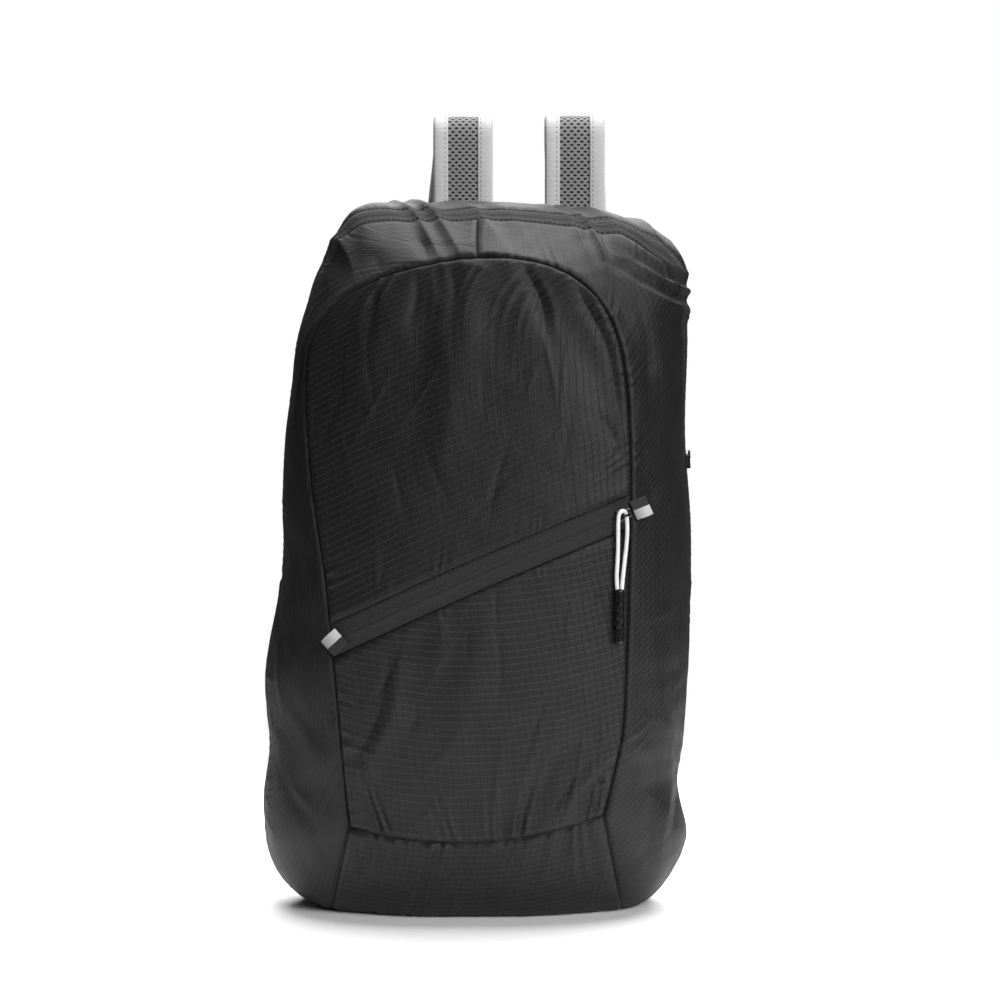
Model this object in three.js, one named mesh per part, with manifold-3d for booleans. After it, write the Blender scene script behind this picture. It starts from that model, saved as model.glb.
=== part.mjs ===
// A packable daypack of thin ripstop nylon, zipped shut and standing on its base as if lightly stuffed.
// Millimetres, +Z up. The front of the pack faces -Y, and the origin is the middle of the base on the floor.
// The cloth is one soft shell: a front, a back, a base and a long side band that runs up one side,
// over the top and down the other. Sections across the side band come from the BAND table.
import * as THREE from "three";
import { mergeVertices } from "three/addons/utils/BufferGeometryUtils.js";
import Module from "manifold-3d";

// Driving sizes of the cloth body
const BAG_WIDTH = 264;
const BAG_HEIGHT = 440;
const BAG_DEPTH = 142;
const CLOTH = 1.2; // wall of the folded and hemmed cloth
const SEAM_GAP = 0.3; // clear slot left between two sewn pieces
const REST_SOFT = 4; // how softly the cloth turns from the side onto the floor
const FRONT_ROUND = 16; // how far the front falls back from its middle to its side seam
const BACK_ROUND = 6;
const TOP_TWIST = 0.15; // the top is turned so that the back moves right, as a slope of depth over width
const BOTTOM_SEAM_SAG = 12; // the front bottom seam hangs below the line between its ends
const BACK_SEAM_SAG = 4;

// Zips
const ZIP_WIDTH = 18; // tape that shows between the two rows of stitches
const MAIN_ZIP_END = 0.47; // height of the ends of the long zip, as a share of the bag
const POCKET_ZIP_LEFT = 0.398; // height of the slanted zip at the left seam
const POCKET_ZIP_RIGHT = 0.577;
const POCKET_ZIP_BOW = 3;
const COIL_RISE = 1.2;
const COIL_HALF = 0.16; // half of the coil, as a share of the tape

// Shoulder straps
const STRAP_WIDTH = 38;
const STRAP_PAD = 4; // thickness of mesh, foam and lining
const STRAP_TOP = 494; // height of the outside of the bend
const STRAP_BEND = 13; // radius of the middle of the pad where it turns over
const STRAP_FOOT = 22; // length of strap that is sewn flat on the back
const STRAP_END = 158; // height of the lower end of the pad
const STRAP_LIFT = 22; // gap between pad and back, half way down
const STRAP_SEAM_DROP = 6; // the strap is sewn on this far below the top of the back
const PAD_EDGE = 1; // bevel of the pad's long edges
const BINDING_WIDTH = 9.5;
const BINDING_WALL = 1;
const FIT = 0.3; // clearance between two pieces that touch

// Webbing and strap buckles
const WEB_WIDTH = 20;
const WEB_WALL = 1.4;
const WEB_TAIL = 70;
const WEB_FOOT = 14; // length that is sewn flat on the back
const WEB_FOOT_RISE = 12; // height of its lower end over the corner of the back
const WEB_TAIL_LIFT = 3; // the free end stands off by this
const BUCKLE_WIDTH = 29;
const BUCKLE_BAR = 4.5;
const BUCKLE_SLOT = 6;
const BUCKLE_WALL = 3;
const LOOP_LENGTH = 7; // from the end of the pad to the first bar of the buckle

// Zip sliders, cord pull and end tabs
const SLIDER_LENGTH = 8.5;
const SLIDER_WIDTH = 8;
const SLIDER_HEIGHT = 3.2;
const SEAT = 0.6; // clearance of small pieces over the softly curved cloth
const SLIDER_INSET = 5.5; // from the right end of the pocket zip to the middle of its slider
const EYE_WIRE = 1.3; // thickness of the slider's eye round the cord
const CORD_DIAMETER = 2.4;
const CORD_SIDES = 8;
const CORD_FIT = 0.35; // clearance of the cord in the eye
const GRIP_LENGTH = 32;
const GRIP_DIAMETER = 6;
const GRIP_FACETS = 4;
const TAB_WIDTH = 12;
const TAB_LENGTH = 9;
const TAB_WALL = 1;

// The cord goes up from the grip, through the slider's eye and down to the grip: its points from the
// middle of the slider.
const CORD_ROUTE = [
  [-3.57, -5.97, -44.44],
  [-3.97, -5.77, -37.04],
  [-3.37, -5.57, -24.04],
  [-3.27, -5.67, -12.04],
  [-3.17, -5.97, -4.04],
  [-2.97, -6.27, -0.44],
  [-1.57, -6.07, 2.26],
  [0.33, -5.37, 2.26],
  [1.53, -4.97, 0.36],
  [2.03, -4.77, -2.74],
  [2.23, -4.67, -10.54],
  [1.78, -4.77, -17.79],
  [1.03, -4.97, -25.04],
  [-0.37, -5.67, -38.04],
  [-0.87, -5.97, -44.44],
];

// Mesh steps, shared by every piece that meets at a seam
const NEAR = 12; // how far round a piece the mesh of the cloth is looked at
const LOW_ROWS = 10;
const ZIP_ROWS = 2;
const UP_ROWS = 12;
const TOP_COLUMNS = 16;
const BAND_COLUMNS = 4;
const CORD_STEPS = 30;

const WHITE_GREY = new THREE.MeshStandardMaterial({ color: 0xb9b9b9, roughness: 0.7 });
const BLACK_CLOTH = new THREE.MeshStandardMaterial({ color: 0x232323, roughness: 0.55 });
const BLACK_TAPE = new THREE.MeshStandardMaterial({ color: 0x2a2a2a, roughness: 0.8 });
const GREY_MESH = new THREE.MeshStandardMaterial({ color: 0x6a6a6a, roughness: 0.85 });
const BLACK_PLASTIC = new THREE.MeshStandardMaterial({ color: 0x1a1a1a, roughness: 0.4 });
const BLACK_METAL = new THREE.MeshStandardMaterial({ color: 0x1c1c1c, roughness: 0.35, metalness: 0.7 });
const WHITE_CORD = new THREE.MeshStandardMaterial({ color: 0xe8e8e8, roughness: 0.8 });

// Turns rows of numbers into rows with named columns.
function table(columns, rows) {
  return rows.map((row) => Object.fromEntries(columns.map((name, i) => [name, row[i]])));
}

// One row for each section across the side band, from the left end of the base, over the top, to the
// right end. front: the seam with the front panel. out: the outermost line. back: the seam with the back.
// X is a share of the bag's width, Z of its height, and outY shifts the outermost line as a share of its
// depth. zip is where the middle of the long zip runs across the band, and round how square the section is.
const BAND = table(
  ["frontX", "frontZ", "outX", "outZ", "backX", "backZ", "outY", "zip", "round"],
  [
    [-0.295, 0.14, -0.35, -0.016, -0.318, 0.06, 0.06, 0.56, 4],
    [-0.299, 0.161, -0.444, 0.028, -0.348, 0.12, 0, 0.56, 2.8],
    [-0.303, 0.184, -0.494, 0.08, -0.367, 0.157, 0, 0.56, 2.4],
    [-0.309, 0.224, -0.504, 0.16, -0.379, 0.203, 0, 0.56, 2.3],
    [-0.318, 0.288, -0.491, 0.235, -0.383, 0.265, 0, 0.56, 2.2],
    [-0.33, 0.369, -0.498, 0.345, -0.386, 0.357, 0, 0.56, 2.2],
    [-0.348, 0.475, -0.46, 0.479, -0.383, 0.475, 0, 0.56, 2.2],
    [-0.383, 0.611, -0.458, 0.604, -0.371, 0.604, 0, 0.56, 2.2],
    [-0.398, 0.726, -0.437, 0.724, -0.348, 0.733, 0, 0.54, 2.2],
    [-0.384, 0.806, -0.405, 0.834, -0.311, 0.843, 0, 0.47, 2.2],
    [-0.314, 0.859, -0.362, 0.919, -0.265, 0.917, 0.01, 0.42, 2.1],
    [-0.227, 0.892, -0.292, 0.985, -0.197, 0.963, 0.02, 0.38, 2],
    [-0.114, 0.912, -0.144, 0.994, -0.095, 0.982, 0.03, 0.37, 2],
    [0, 0.922, 0.008, 0.993, 0.053, 0.984, 0.03, 0.37, 2],
    [0.114, 0.918, 0.159, 0.988, 0.197, 0.98, 0.03, 0.37, 2],
    [0.208, 0.899, 0.295, 0.978, 0.303, 0.963, 0.02, 0.38, 2],
    [0.273, 0.864, 0.394, 0.959, 0.379, 0.935, 0, 0.4, 2.1],
    [0.318, 0.816, 0.477, 0.903, 0.424, 0.885, 0, 0.45, 2.2],
    [0.341, 0.742, 0.481, 0.811, 0.439, 0.795, 0, 0.54, 2.2],
    [0.35, 0.634, 0.477, 0.673, 0.432, 0.668, 0, 0.61, 2.2],
    [0.347, 0.518, 0.496, 0.535, 0.417, 0.53, 0, 0.63, 2.2],
    [0.343, 0.392, 0.496, 0.396, 0.394, 0.396, 0, 0.6, 2.2],
    [0.335, 0.281, 0.485, 0.258, 0.379, 0.258, 0, 0.56, 2.2],
    [0.316, 0.221, 0.47, 0.175, 0.371, 0.194, 0, 0.56, 2.3],
    [0.301, 0.182, 0.489, 0.1, 0.364, 0.143, 0, 0.56, 2.4],
    [0.295, 0.168, 0.433, 0.03, 0.345, 0.106, 0, 0.56, 2.8],
    [0.29, 0.157, 0.345, -0.016, 0.318, 0.06, 0.06, 0.56, 4],
  ],
);
const LEFT_SHOULDER = 10;
const TOP_CENTRE = 13;
const RIGHT_SHOULDER = 16;
const LAST = BAND.length - 1;

// Depth of the middle of the front and of the back at equal steps of height, as shares of the bag's depth.
const DEPTHS = table(
  ["front", "back"],
  [
    [-0.42, 0.39],
    [-0.495, 0.42],
    [-0.53, 0.45],
    [-0.54, 0.465],
    [-0.525, 0.465],
    [-0.497, 0.458],
    [-0.45, 0.45],
    [-0.377, 0.444],
    [-0.225, 0.425],
  ],
);

// Broad folds of the cloth, seen from the front: middle and direction in the front view, and the height
// of the ridge, negative for a valley. Lengths are shares of the bag's width, at and up of width and height.
const FOLDS = table(
  ["at", "up", "degrees", "length", "width", "rise"],
  [
    [-0.11, 0.855, 82, 0.2, 0.06, -0.014],
    [-0.02, 0.85, 84, 0.24, 0.08, 0.012],
    [0.16, 0.86, 108, 0.26, 0.07, -0.016],
    [-0.24, 0.8, 70, 0.26, 0.08, 0.012],
    [0.27, 0.76, 112, 0.34, 0.07, -0.014],
    [-0.02, 0.33, 78, 0.3, 0.09, 0.012],
    [0.16, 0.21, 52, 0.36, 0.07, -0.016],
    [0.23, 0.2, 58, 0.28, 0.06, 0.014],
    [-0.23, 0.26, 72, 0.34, 0.07, 0.01],
    [-0.42, 0.22, 88, 0.3, 0.09, -0.012],
    [0.42, 0.3, 92, 0.5, 0.07, 0.012],
    [0.38, 0.78, 116, 0.36, 0.07, -0.016],
  ],
);
const GATHER_DEPTH = 1.4; // every second row of the mesh is drawn in by this at a gathered seam
const GATHER_RISE = 6; // the gathers are full this far from the seam
const GATHER_REACH = 60; // and fade out over this distance
const SCALLOP = 1.6; // the same along the top of the band

// The uniform Catmull-Rom spline through a column of a table, at a place counted in rows.
function along(rows, column, place) {
  const last = rows.length - 1;
  const i = Math.min(Math.max(Math.floor(place), 0), last - 1);
  const t = place - i;
  const value = (k) => rows[k][column];
  const before = i > 0 ? value(i - 1) : 2 * value(0) - value(1);
  const after = i + 2 <= last ? value(i + 2) : 2 * value(last) - value(last - 1);
  const a = value(i);
  const b = value(i + 1);
  const enter = (b - before) / 2;
  const leave = (after - a) / 2;
  return a + t * (enter + t * (3 * (b - a) - 2 * enter - leave + t * (2 * (a - b) + enter + leave)));
}

function twistAt(z) {
  return TOP_TWIST * THREE.MathUtils.smoothstep(z, 0.3 * BAG_HEIGHT, 0.95 * BAG_HEIGHT);
}

function depthAt(side, z) {
  const place = THREE.MathUtils.clamp(z / BAG_HEIGHT, 0, 1) * (DEPTHS.length - 1);
  return BAG_DEPTH * along(DEPTHS, side, place);
}

// Height of a ridge of cloth at a point of the front view: a bell across the fold, fading at its ends.
function foldRise(x, z) {
  return FOLDS.reduce((sum, fold) => {
    const turn = THREE.MathUtils.degToRad(fold.degrees);
    const dx = x - fold.at * BAG_WIDTH;
    const dz = z - fold.up * BAG_HEIGHT;
    const run = (dx * Math.cos(turn) + dz * Math.sin(turn)) / (0.5 * fold.length * BAG_WIDTH);
    const off = (dx * Math.sin(turn) - dz * Math.cos(turn)) / (0.5 * fold.width * BAG_WIDTH);
    return sum + fold.rise * BAG_WIDTH * Math.exp(-(run ** 2) - off ** 2);
  }, 0);
}

function frontDepth(x, z) {
  const fall = FRONT_ROUND * Math.abs(x / (0.36 * BAG_WIDTH)) ** 2.6;
  return depthAt("front", z) + fall - x * twistAt(z);
}

function backDepth(x, z) {
  const middle = 0.2 * twistAt(z) * BAG_WIDTH;
  const fall = BACK_ROUND * Math.abs((x - middle) / (0.4 * BAG_WIDTH)) ** 4;
  return depthAt("back", z) - fall - x * twistAt(z);
}

// The cloth flattens where it would sink into the floor.
function onFloor(p) {
  if (p.z < REST_SOFT) {
    p.z = p.z <= -REST_SOFT ? 0 : (p.z + REST_SOFT) ** 2 / (4 * REST_SOFT);
  }
  return p;
}

function frontSeam(station) {
  const x = BAG_WIDTH * along(BAND, "frontX", station);
  const z = BAG_HEIGHT * along(BAND, "frontZ", station);
  return new THREE.Vector3(x, frontDepth(x, z), z);
}

function backSeam(station) {
  const x = BAG_WIDTH * along(BAND, "backX", station);
  const z = BAG_HEIGHT * along(BAND, "backZ", station);
  return new THREE.Vector3(x, backDepth(x, z), z);
}

// A point of the side band before it rests on the floor: across is 0 at the front seam, 1 at the back seam.
function freeBandPoint(station, across) {
  const front = frontSeam(station);
  const back = backSeam(station);
  const middle = front.clone().lerp(back, 0.5);
  const out = new THREE.Vector3(
    BAG_WIDTH * along(BAND, "outX", station),
    middle.y + BAG_DEPTH * along(BAND, "outY", station),
    BAG_HEIGHT * along(BAND, "outZ", station),
  );
  const bulge = 1 - Math.abs(2 * across - 1) ** along(BAND, "round", station);
  return front.lerp(back, across).addScaledVector(out.sub(middle), bulge);
}

function bandPoint(station, across) {
  return onFloor(freeBandPoint(station, across));
}

// The direction out of the bag, smooth everywhere, so that two pieces share one mitre at a seam.
function outward(p) {
  const part = (value, half) => (Math.sign(value) * Math.abs(value / half) ** 2) / half;
  const x = part(p.x, BAG_WIDTH / 2);
  const y = part(p.y, BAG_DEPTH / 2);
  const z = part(p.z - BAG_HEIGHT / 2, BAG_HEIGHT / 2);
  return new THREE.Vector3(x, y, z).normalize();
}

// The station of a side seam at a height, where the stations between from and to rise or fall steadily.
function stationAtHeight(column, from, to, z) {
  let low = from;
  let high = to;
  for (let i = 0; i < 40; i++) {
    const middle = (low + high) / 2;
    if (BAG_HEIGHT * along(BAND, column, middle) < z) low = middle;
    else high = middle;
  }
  return (low + high) / 2;
}

// The slanted zip meets the side seams here.
const zipSlope = Math.atan2(
  (POCKET_ZIP_RIGHT - POCKET_ZIP_LEFT) * BAG_HEIGHT,
  2 * 0.345 * BAG_WIDTH,
);
const zipHalfHeight = ZIP_WIDTH / 2 / Math.cos(zipSlope);
const zipLeft = POCKET_ZIP_LEFT * BAG_HEIGHT;
const zipRight = POCKET_ZIP_RIGHT * BAG_HEIGHT;
const lowLeft = stationAtHeight("frontZ", 0, LEFT_SHOULDER, zipLeft - zipHalfHeight);
const upLeft = stationAtHeight("frontZ", 0, LEFT_SHOULDER, zipLeft + zipHalfHeight);
const lowRight = stationAtHeight("frontZ", LAST, RIGHT_SHOULDER, zipRight - zipHalfHeight);
const upRight = stationAtHeight("frontZ", LAST, RIGHT_SHOULDER, zipRight + zipHalfHeight);

// Stations of the band's mesh, the same for every piece that shares a seam with it.
function steps(from, to, count) {
  return Array.from({ length: count + 1 }, (_, i) => THREE.MathUtils.lerp(from, to, i / count));
}

function joined(...lists) {
  return lists.flatMap((list, i) => (i ? list.slice(1) : list));
}

const leftLow = steps(0, lowLeft, LOW_ROWS);
const leftZip = steps(lowLeft, upLeft, ZIP_ROWS);
const leftUp = steps(upLeft, LEFT_SHOULDER, UP_ROWS);
const topLeft = steps(LEFT_SHOULDER, TOP_CENTRE, TOP_COLUMNS / 2);
const topRight = steps(TOP_CENTRE, RIGHT_SHOULDER, TOP_COLUMNS / 2);
const rightUp = steps(RIGHT_SHOULDER, upRight, UP_ROWS);
const rightZip = steps(upRight, lowRight, ZIP_ROWS);
const rightLow = steps(lowRight, LAST, LOW_ROWS);
const leftStations = joined(leftLow, leftZip, leftUp);
const rightStations = joined(rightUp, rightZip, rightLow);
const stations = joined(leftStations, topLeft, topRight, rightStations);

// Fills a four-sided patch between its edges. Rows run from bottom to top and columns from left to right.
function patch(bottom, top, left, right) {
  const columns = bottom.length - 1;
  const rows = left.length - 1;
  return left.map((leftEdge, j) => {
    const v = j / rows;
    return bottom.map((bottomEdge, i) => {
      const u = i / columns;
      const ruled = leftEdge.clone().lerp(right[j], u);
      const crossed = bottomEdge.clone().lerp(top[i], v);
      const low = bottom[0].clone().lerp(bottom[columns], u);
      const corners = low.lerp(top[0].clone().lerp(top[columns], u), v);
      return ruled.add(crossed).sub(corners);
    });
  });
}

// Draws in every second column near the row where a seam is gathered.
function gather(grid, seamRow, deep) {
  const seam = grid[seamRow];
  return grid.map((row) =>
    row.map((p, i) => {
      const far = p.distanceTo(seam[i]);
      const fade = 1 - THREE.MathUtils.smoothstep(far, 0, GATHER_REACH);
      const inside = i % 2 === 1 ? fade * Math.min(far / GATHER_RISE, 1) : 0;
      return p.clone().addScaledVector(outward(p), -deep * inside);
    }),
  );
}

// Pulls the edge of a grid in from its seam, so that neighbours keep a slot between them.
function insetEdges(grid, inset = SEAM_GAP / 2) {
  const rows = grid.length - 1;
  const columns = grid[0].length - 1;
  const made = grid.map((row) => row.map((p) => p.clone()));
  const pull = (p, towards) => p.addScaledVector(towards.clone().sub(p).normalize(), inset);
  for (let i = 0; i <= columns; i++) {
    pull(made[0][i], grid[1][i]);
    pull(made[rows][i], grid[rows - 1][i]);
  }
  for (let j = 0; j <= rows; j++) {
    pull(made[j][0], grid[j][1]);
    pull(made[j][columns], grid[j][columns - 1]);
  }
  return made;
}

// Volume inside a closed indexed surface, negative where its faces point in.
function volumeOf(points, index) {
  let sum = 0;
  for (let i = 0; i < index.length; i += 3) {
    const [a, b, c] = [points[index[i]], points[index[i + 1]], points[index[i + 2]]];
    sum += a.dot(b.clone().cross(c)) / 6;
  }
  return sum;
}

function closedGeometry(points, index) {
  if (volumeOf(points, index) < 0) index.reverse();
  const geometry = new THREE.BufferGeometry().setFromPoints(points);
  geometry.setIndex(index);
  geometry.computeVertexNormals();
  return geometry;
}

// Outside points of each piece of cloth, for the pieces that lie on it.
const skins = {};

// Adds a wall of cloth: the grid is its outside, and the inside lies a wall's thickness in.
function addCloth(name, grid, material, wall = CLOTH) {
  skins[name] = grid.flat();
  add(name, clothGeometry(grid, wall), material);
}

// How far the cloth near a line up the bag reaches to the front (sign -1) or to the back (sign 1).
function reachOf(names, sign, x, half, low, high) {
  const near = names.flatMap((name) => skins[name]).filter((p) =>
    Math.abs(p.x - x) <= half && p.z >= low && p.z <= high);
  return sign * Math.max(...near.map((p) => sign * p.y));
}

function clothGeometry(grid, wall) {
  const rows = grid.length;
  const columns = grid[0].length;
  const outside = grid.flat();
  const inside = outside.map((p) => p.clone().addScaledVector(outward(p), -wall));
  const at = (j, i) => j * columns + i;
  const count = outside.length;
  const index = [];
  for (let j = 0; j + 1 < rows; j++) {
    for (let i = 0; i + 1 < columns; i++) {
      const [a, b, c, d] = [at(j, i), at(j, i + 1), at(j + 1, i + 1), at(j + 1, i)];
      index.push(a, b, c, a, c, d);
      index.push(count + a, count + c, count + b, count + a, count + d, count + c);
    }
  }
  const rim = [];
  for (let i = 0; i + 1 < columns; i++) rim.push(at(0, i));
  for (let j = 0; j + 1 < rows; j++) rim.push(at(j, columns - 1));
  for (let i = columns - 1; i > 0; i--) rim.push(at(rows - 1, i));
  for (let j = rows - 1; j > 0; j--) rim.push(at(j, 0));
  rim.forEach((a, k) => {
    const b = rim[(k + 1) % rim.length];
    index.push(b, a, count + a, b, count + a, count + b);
  });
  return closedGeometry([...outside, ...inside], index);
}

// A flat outline, a list of Vector2, carried along frames of a path: place, across and out.
function carriedGeometry(outline, frames) {
  const size = outline.length;
  const points = frames.flatMap(({ place, across, out }) =>
    outline.map((q) => place.clone().addScaledVector(across, q.x).addScaledVector(out, q.y)),
  );
  const index = [];
  for (let k = 0; k + 1 < frames.length; k++) {
    for (let i = 0; i < size; i++) {
      const j = (i + 1) % size;
      const [a, b, c, d] = [k * size + i, k * size + j, (k + 1) * size + j, (k + 1) * size + i];
      index.push(a, b, c, a, c, d);
    }
  }
  const last = (frames.length - 1) * size;
  for (const [a, b, c] of THREE.ShapeUtils.triangulateShape(outline, [])) {
    index.push(c, b, a, last + a, last + b, last + c);
  }
  return closedGeometry(points, index);
}

function outlineOf(pairs) {
  const outline = pairs.map(([x, y]) => new THREE.Vector2(x, y));
  return THREE.ShapeUtils.isClockWise(outline) ? outline.reverse() : outline;
}

// Frames along a band of webbing: across stays level, and out is square to the band.
function bandFrames(path, shares) {
  return shares.map((share) => {
    const tangent = path.getTangentAt(share);
    const across = new THREE.Vector3(1, 0, 0).addScaledVector(tangent, -tangent.x).normalize();
    return { place: path.getPointAt(share), across, out: across.clone().cross(tangent).normalize() };
  });
}

const group = new THREE.Group();

function add(name, geometry, material, into = group) {
  const mesh = new THREE.Mesh(geometry, material);
  mesh.name = name;
  into.add(mesh);
  return mesh;
}

// Lifts points of the front view onto the front of the bag, with its broad folds.
function onFront(grid) {
  return grid.map((row) =>
    row.map((p) => {
      const placed = new THREE.Vector3(p.x, frontDepth(p.x, p.z), p.z);
      return placed.addScaledVector(outward(placed), foldRise(p.x, p.z) * (p.inside ?? 1));
    }),
  );
}

// How far a grid's points are from its edge, from 0 at the edge to 1 inside, so that folds die at seams.
function fadeAtEdges(grid, reach = 2) {
  const rows = grid.length - 1;
  const columns = grid[0].length - 1;
  grid.forEach((row, j) =>
    row.forEach((p, i) => {
      p.inside = THREE.MathUtils.clamp(Math.min(i, columns - i, j, rows - j) / reach, 0, 1);
    }),
  );
  return grid;
}

function seamPoints(list) {
  return list.map(frontSeam);
}

// A line across the front from one side seam to the other, bowed or sagging.
function acrossFront(from, to, bow) {
  return steps(0, 1, TOP_COLUMNS).map((s) => {
    const p = frontSeam(from).lerp(frontSeam(to), s);
    p.z += bow * 4 * s * (1 - s);
    p.y = frontDepth(p.x, p.z);
    return p;
  });
}

const bottomSeam = acrossFront(0, LAST, -BOTTOM_SEAM_SAG);
const zipLowEdge = acrossFront(lowLeft, lowRight, POCKET_ZIP_BOW);
const zipUpEdge = acrossFront(upLeft, upRight, POCKET_ZIP_BOW);

function addFrontPanels() {
  const lower = patch(bottomSeam, zipLowEdge, seamPoints(leftLow), seamPoints(rightLow).reverse());
  const gathered = gather(onFront(fadeAtEdges(lower)), 0, GATHER_DEPTH);
  addCloth("front_panel_lower", insetEdges(gathered), BLACK_CLOTH);
  const crown = joined(seamPoints(topLeft), seamPoints(topRight));
  const upper = patch(zipUpEdge, crown, seamPoints(leftUp), seamPoints(rightUp).reverse());
  addCloth("front_panel_upper", insetEdges(onFront(fadeAtEdges(upper))), BLACK_CLOTH);
}

// A zip's tape with its coil standing up along the middle. Columns run across the tape.
const ZIP_COLUMNS = [0, 0.5 - COIL_HALF, 0.5, 0.5 + COIL_HALF, 1];

function raiseCoil(grid) {
  return grid.map((row) =>
    row.map((p, i) => (i === 2 ? p.clone().addScaledVector(outward(p), COIL_RISE) : p)),
  );
}

function addPocketZip() {
  const rows = zipLowEdge.map((low, k) =>
    ZIP_COLUMNS.map((share) => {
      const p = low.clone().lerp(zipUpEdge[k], share);
      p.y = frontDepth(p.x, p.z);
      return p;
    }),
  );
  addCloth("pocket_zip", raiseCoil(insetEdges(rows)), BLACK_TAPE);
}

// The long zip lies between these two lines across the band.
function zipEdge(station, side) {
  const middle = along(BAND, "zip", station);
  const reach = bandPoint(station, middle + 0.05).distanceTo(bandPoint(station, middle - 0.05)) / 0.1;
  return middle + (side * ZIP_WIDTH) / 2 / reach;
}

// The band between two lines across it, for a run of stations.
function bandGrid(list, from, to, columns) {
  return list.map((station) =>
    steps(0, 1, columns).map((share) =>
      bandPoint(station, THREE.MathUtils.lerp(from(station), to(station), share)),
    ),
  );
}

// Small scallops along the top of the band, and the broad folds on its front.
function crumple(grid, list) {
  return grid.map((row, j) => {
    const height = along(BAND, "outZ", list[j]);
    const top = THREE.MathUtils.smoothstep(height, 0.8, 0.98);
    return row.map((p, i) => {
      const inner = Math.min(i, row.length - 1 - i, 1) * Math.min(j, grid.length - 1 - j, 1);
      const fold = p.y < 0 ? foldRise(p.x, p.z) : 0;
      const rise = inner * (fold - (j % 2) * SCALLOP * top);
      return p.clone().addScaledVector(outward(p), rise);
    });
  });
}

const zipEnd = MAIN_ZIP_END * BAG_HEIGHT;
const nearest = (list, target) =>
  list.reduce((best, s) => (Math.abs(s - target) < Math.abs(best - target) ? s : best));
const leftEnd = nearest(leftStations, stationAtHeight("outZ", 0, LEFT_SHOULDER, zipEnd));
const rightEnd = nearest(rightStations, stationAtHeight("outZ", LAST, RIGHT_SHOULDER, zipEnd));
const between = (from, to) => stations.filter((s) => s >= from && s <= to);

function addSideBand() {
  const frontEdge = (station) => zipEdge(station, -1);
  const rearEdge = (station) => zipEdge(station, 1);
  const frontLine = () => 0;
  const backLine = () => 1;
  const strip = (name, list, from, to, columns) => {
    const grid = crumple(bandGrid(list, from, to, columns), list);
    addCloth(name, insetEdges(grid), BLACK_CLOTH);
  };
  strip("band_front_left", between(0, TOP_CENTRE), frontLine, frontEdge, BAND_COLUMNS);
  strip("band_front_right", between(TOP_CENTRE, LAST), frontLine, frontEdge, BAND_COLUMNS);
  strip("band_rear_top", between(leftEnd, rightEnd), rearEdge, backLine, BAND_COLUMNS);
  strip("side_rear_left", between(0, leftEnd), frontEdge, backLine, BAND_COLUMNS);
  strip("side_rear_right", between(rightEnd, LAST), frontEdge, backLine, BAND_COLUMNS);
  const tape = between(leftEnd, rightEnd).map((station) =>
    ZIP_COLUMNS.map((share) =>
      bandPoint(station, THREE.MathUtils.lerp(frontEdge(station), rearEdge(station), share)),
    ),
  );
  addCloth("main_zip", raiseCoil(insetEdges(tape)), BLACK_TAPE);
}

function addBackAndBase() {
  const ends = [backSeam(0), backSeam(LAST)];
  const backBottom = steps(0, 1, TOP_COLUMNS).map((s) => {
    const p = ends[0].clone().lerp(ends[1], s);
    p.z -= BACK_SEAM_SAG * 4 * s * (1 - s);
    p.y = backDepth(p.x, p.z);
    return p;
  });
  const seam = (list) => list.map(backSeam);
  const crown = joined(seam(topLeft), seam(topRight));
  const back = patch(backBottom, crown, seam(leftStations), seam(rightStations).reverse());
  const placed = back.map((row) => row.map((p) => new THREE.Vector3(p.x, backDepth(p.x, p.z), p.z)));
  addCloth("back_panel", insetEdges(placed), BLACK_CLOTH);

  const across = joined(steps(0, zipEdge(0, -1), BAND_COLUMNS), steps(zipEdge(0, -1), 1, BAND_COLUMNS));
  const leftEdge = across.map((w) => freeBandPoint(0, w));
  const rightEdge = across.map((w) => freeBandPoint(LAST, w));
  const base = patch(bottomSeam, backBottom, leftEdge, rightEdge).map((row) => row.map(onFloor));
  addCloth("base_panel", insetEdges(gather(base, 0, GATHER_DEPTH)), BLACK_CLOTH);
}

// A strap runs up from the back's top seam, turns over and hangs down behind the back. As shares of the
// bag's width from its middle, top is where it is sewn on, low where its pad ends, and foot where its
// webbing is sewn into the bottom corner.
const STRAPS = [
  { side: "left", top: -0.038, low: -0.22, foot: -0.288 },
  { side: "right", top: 0.231, low: 0.303, foot: 0.2955 },
];

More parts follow.
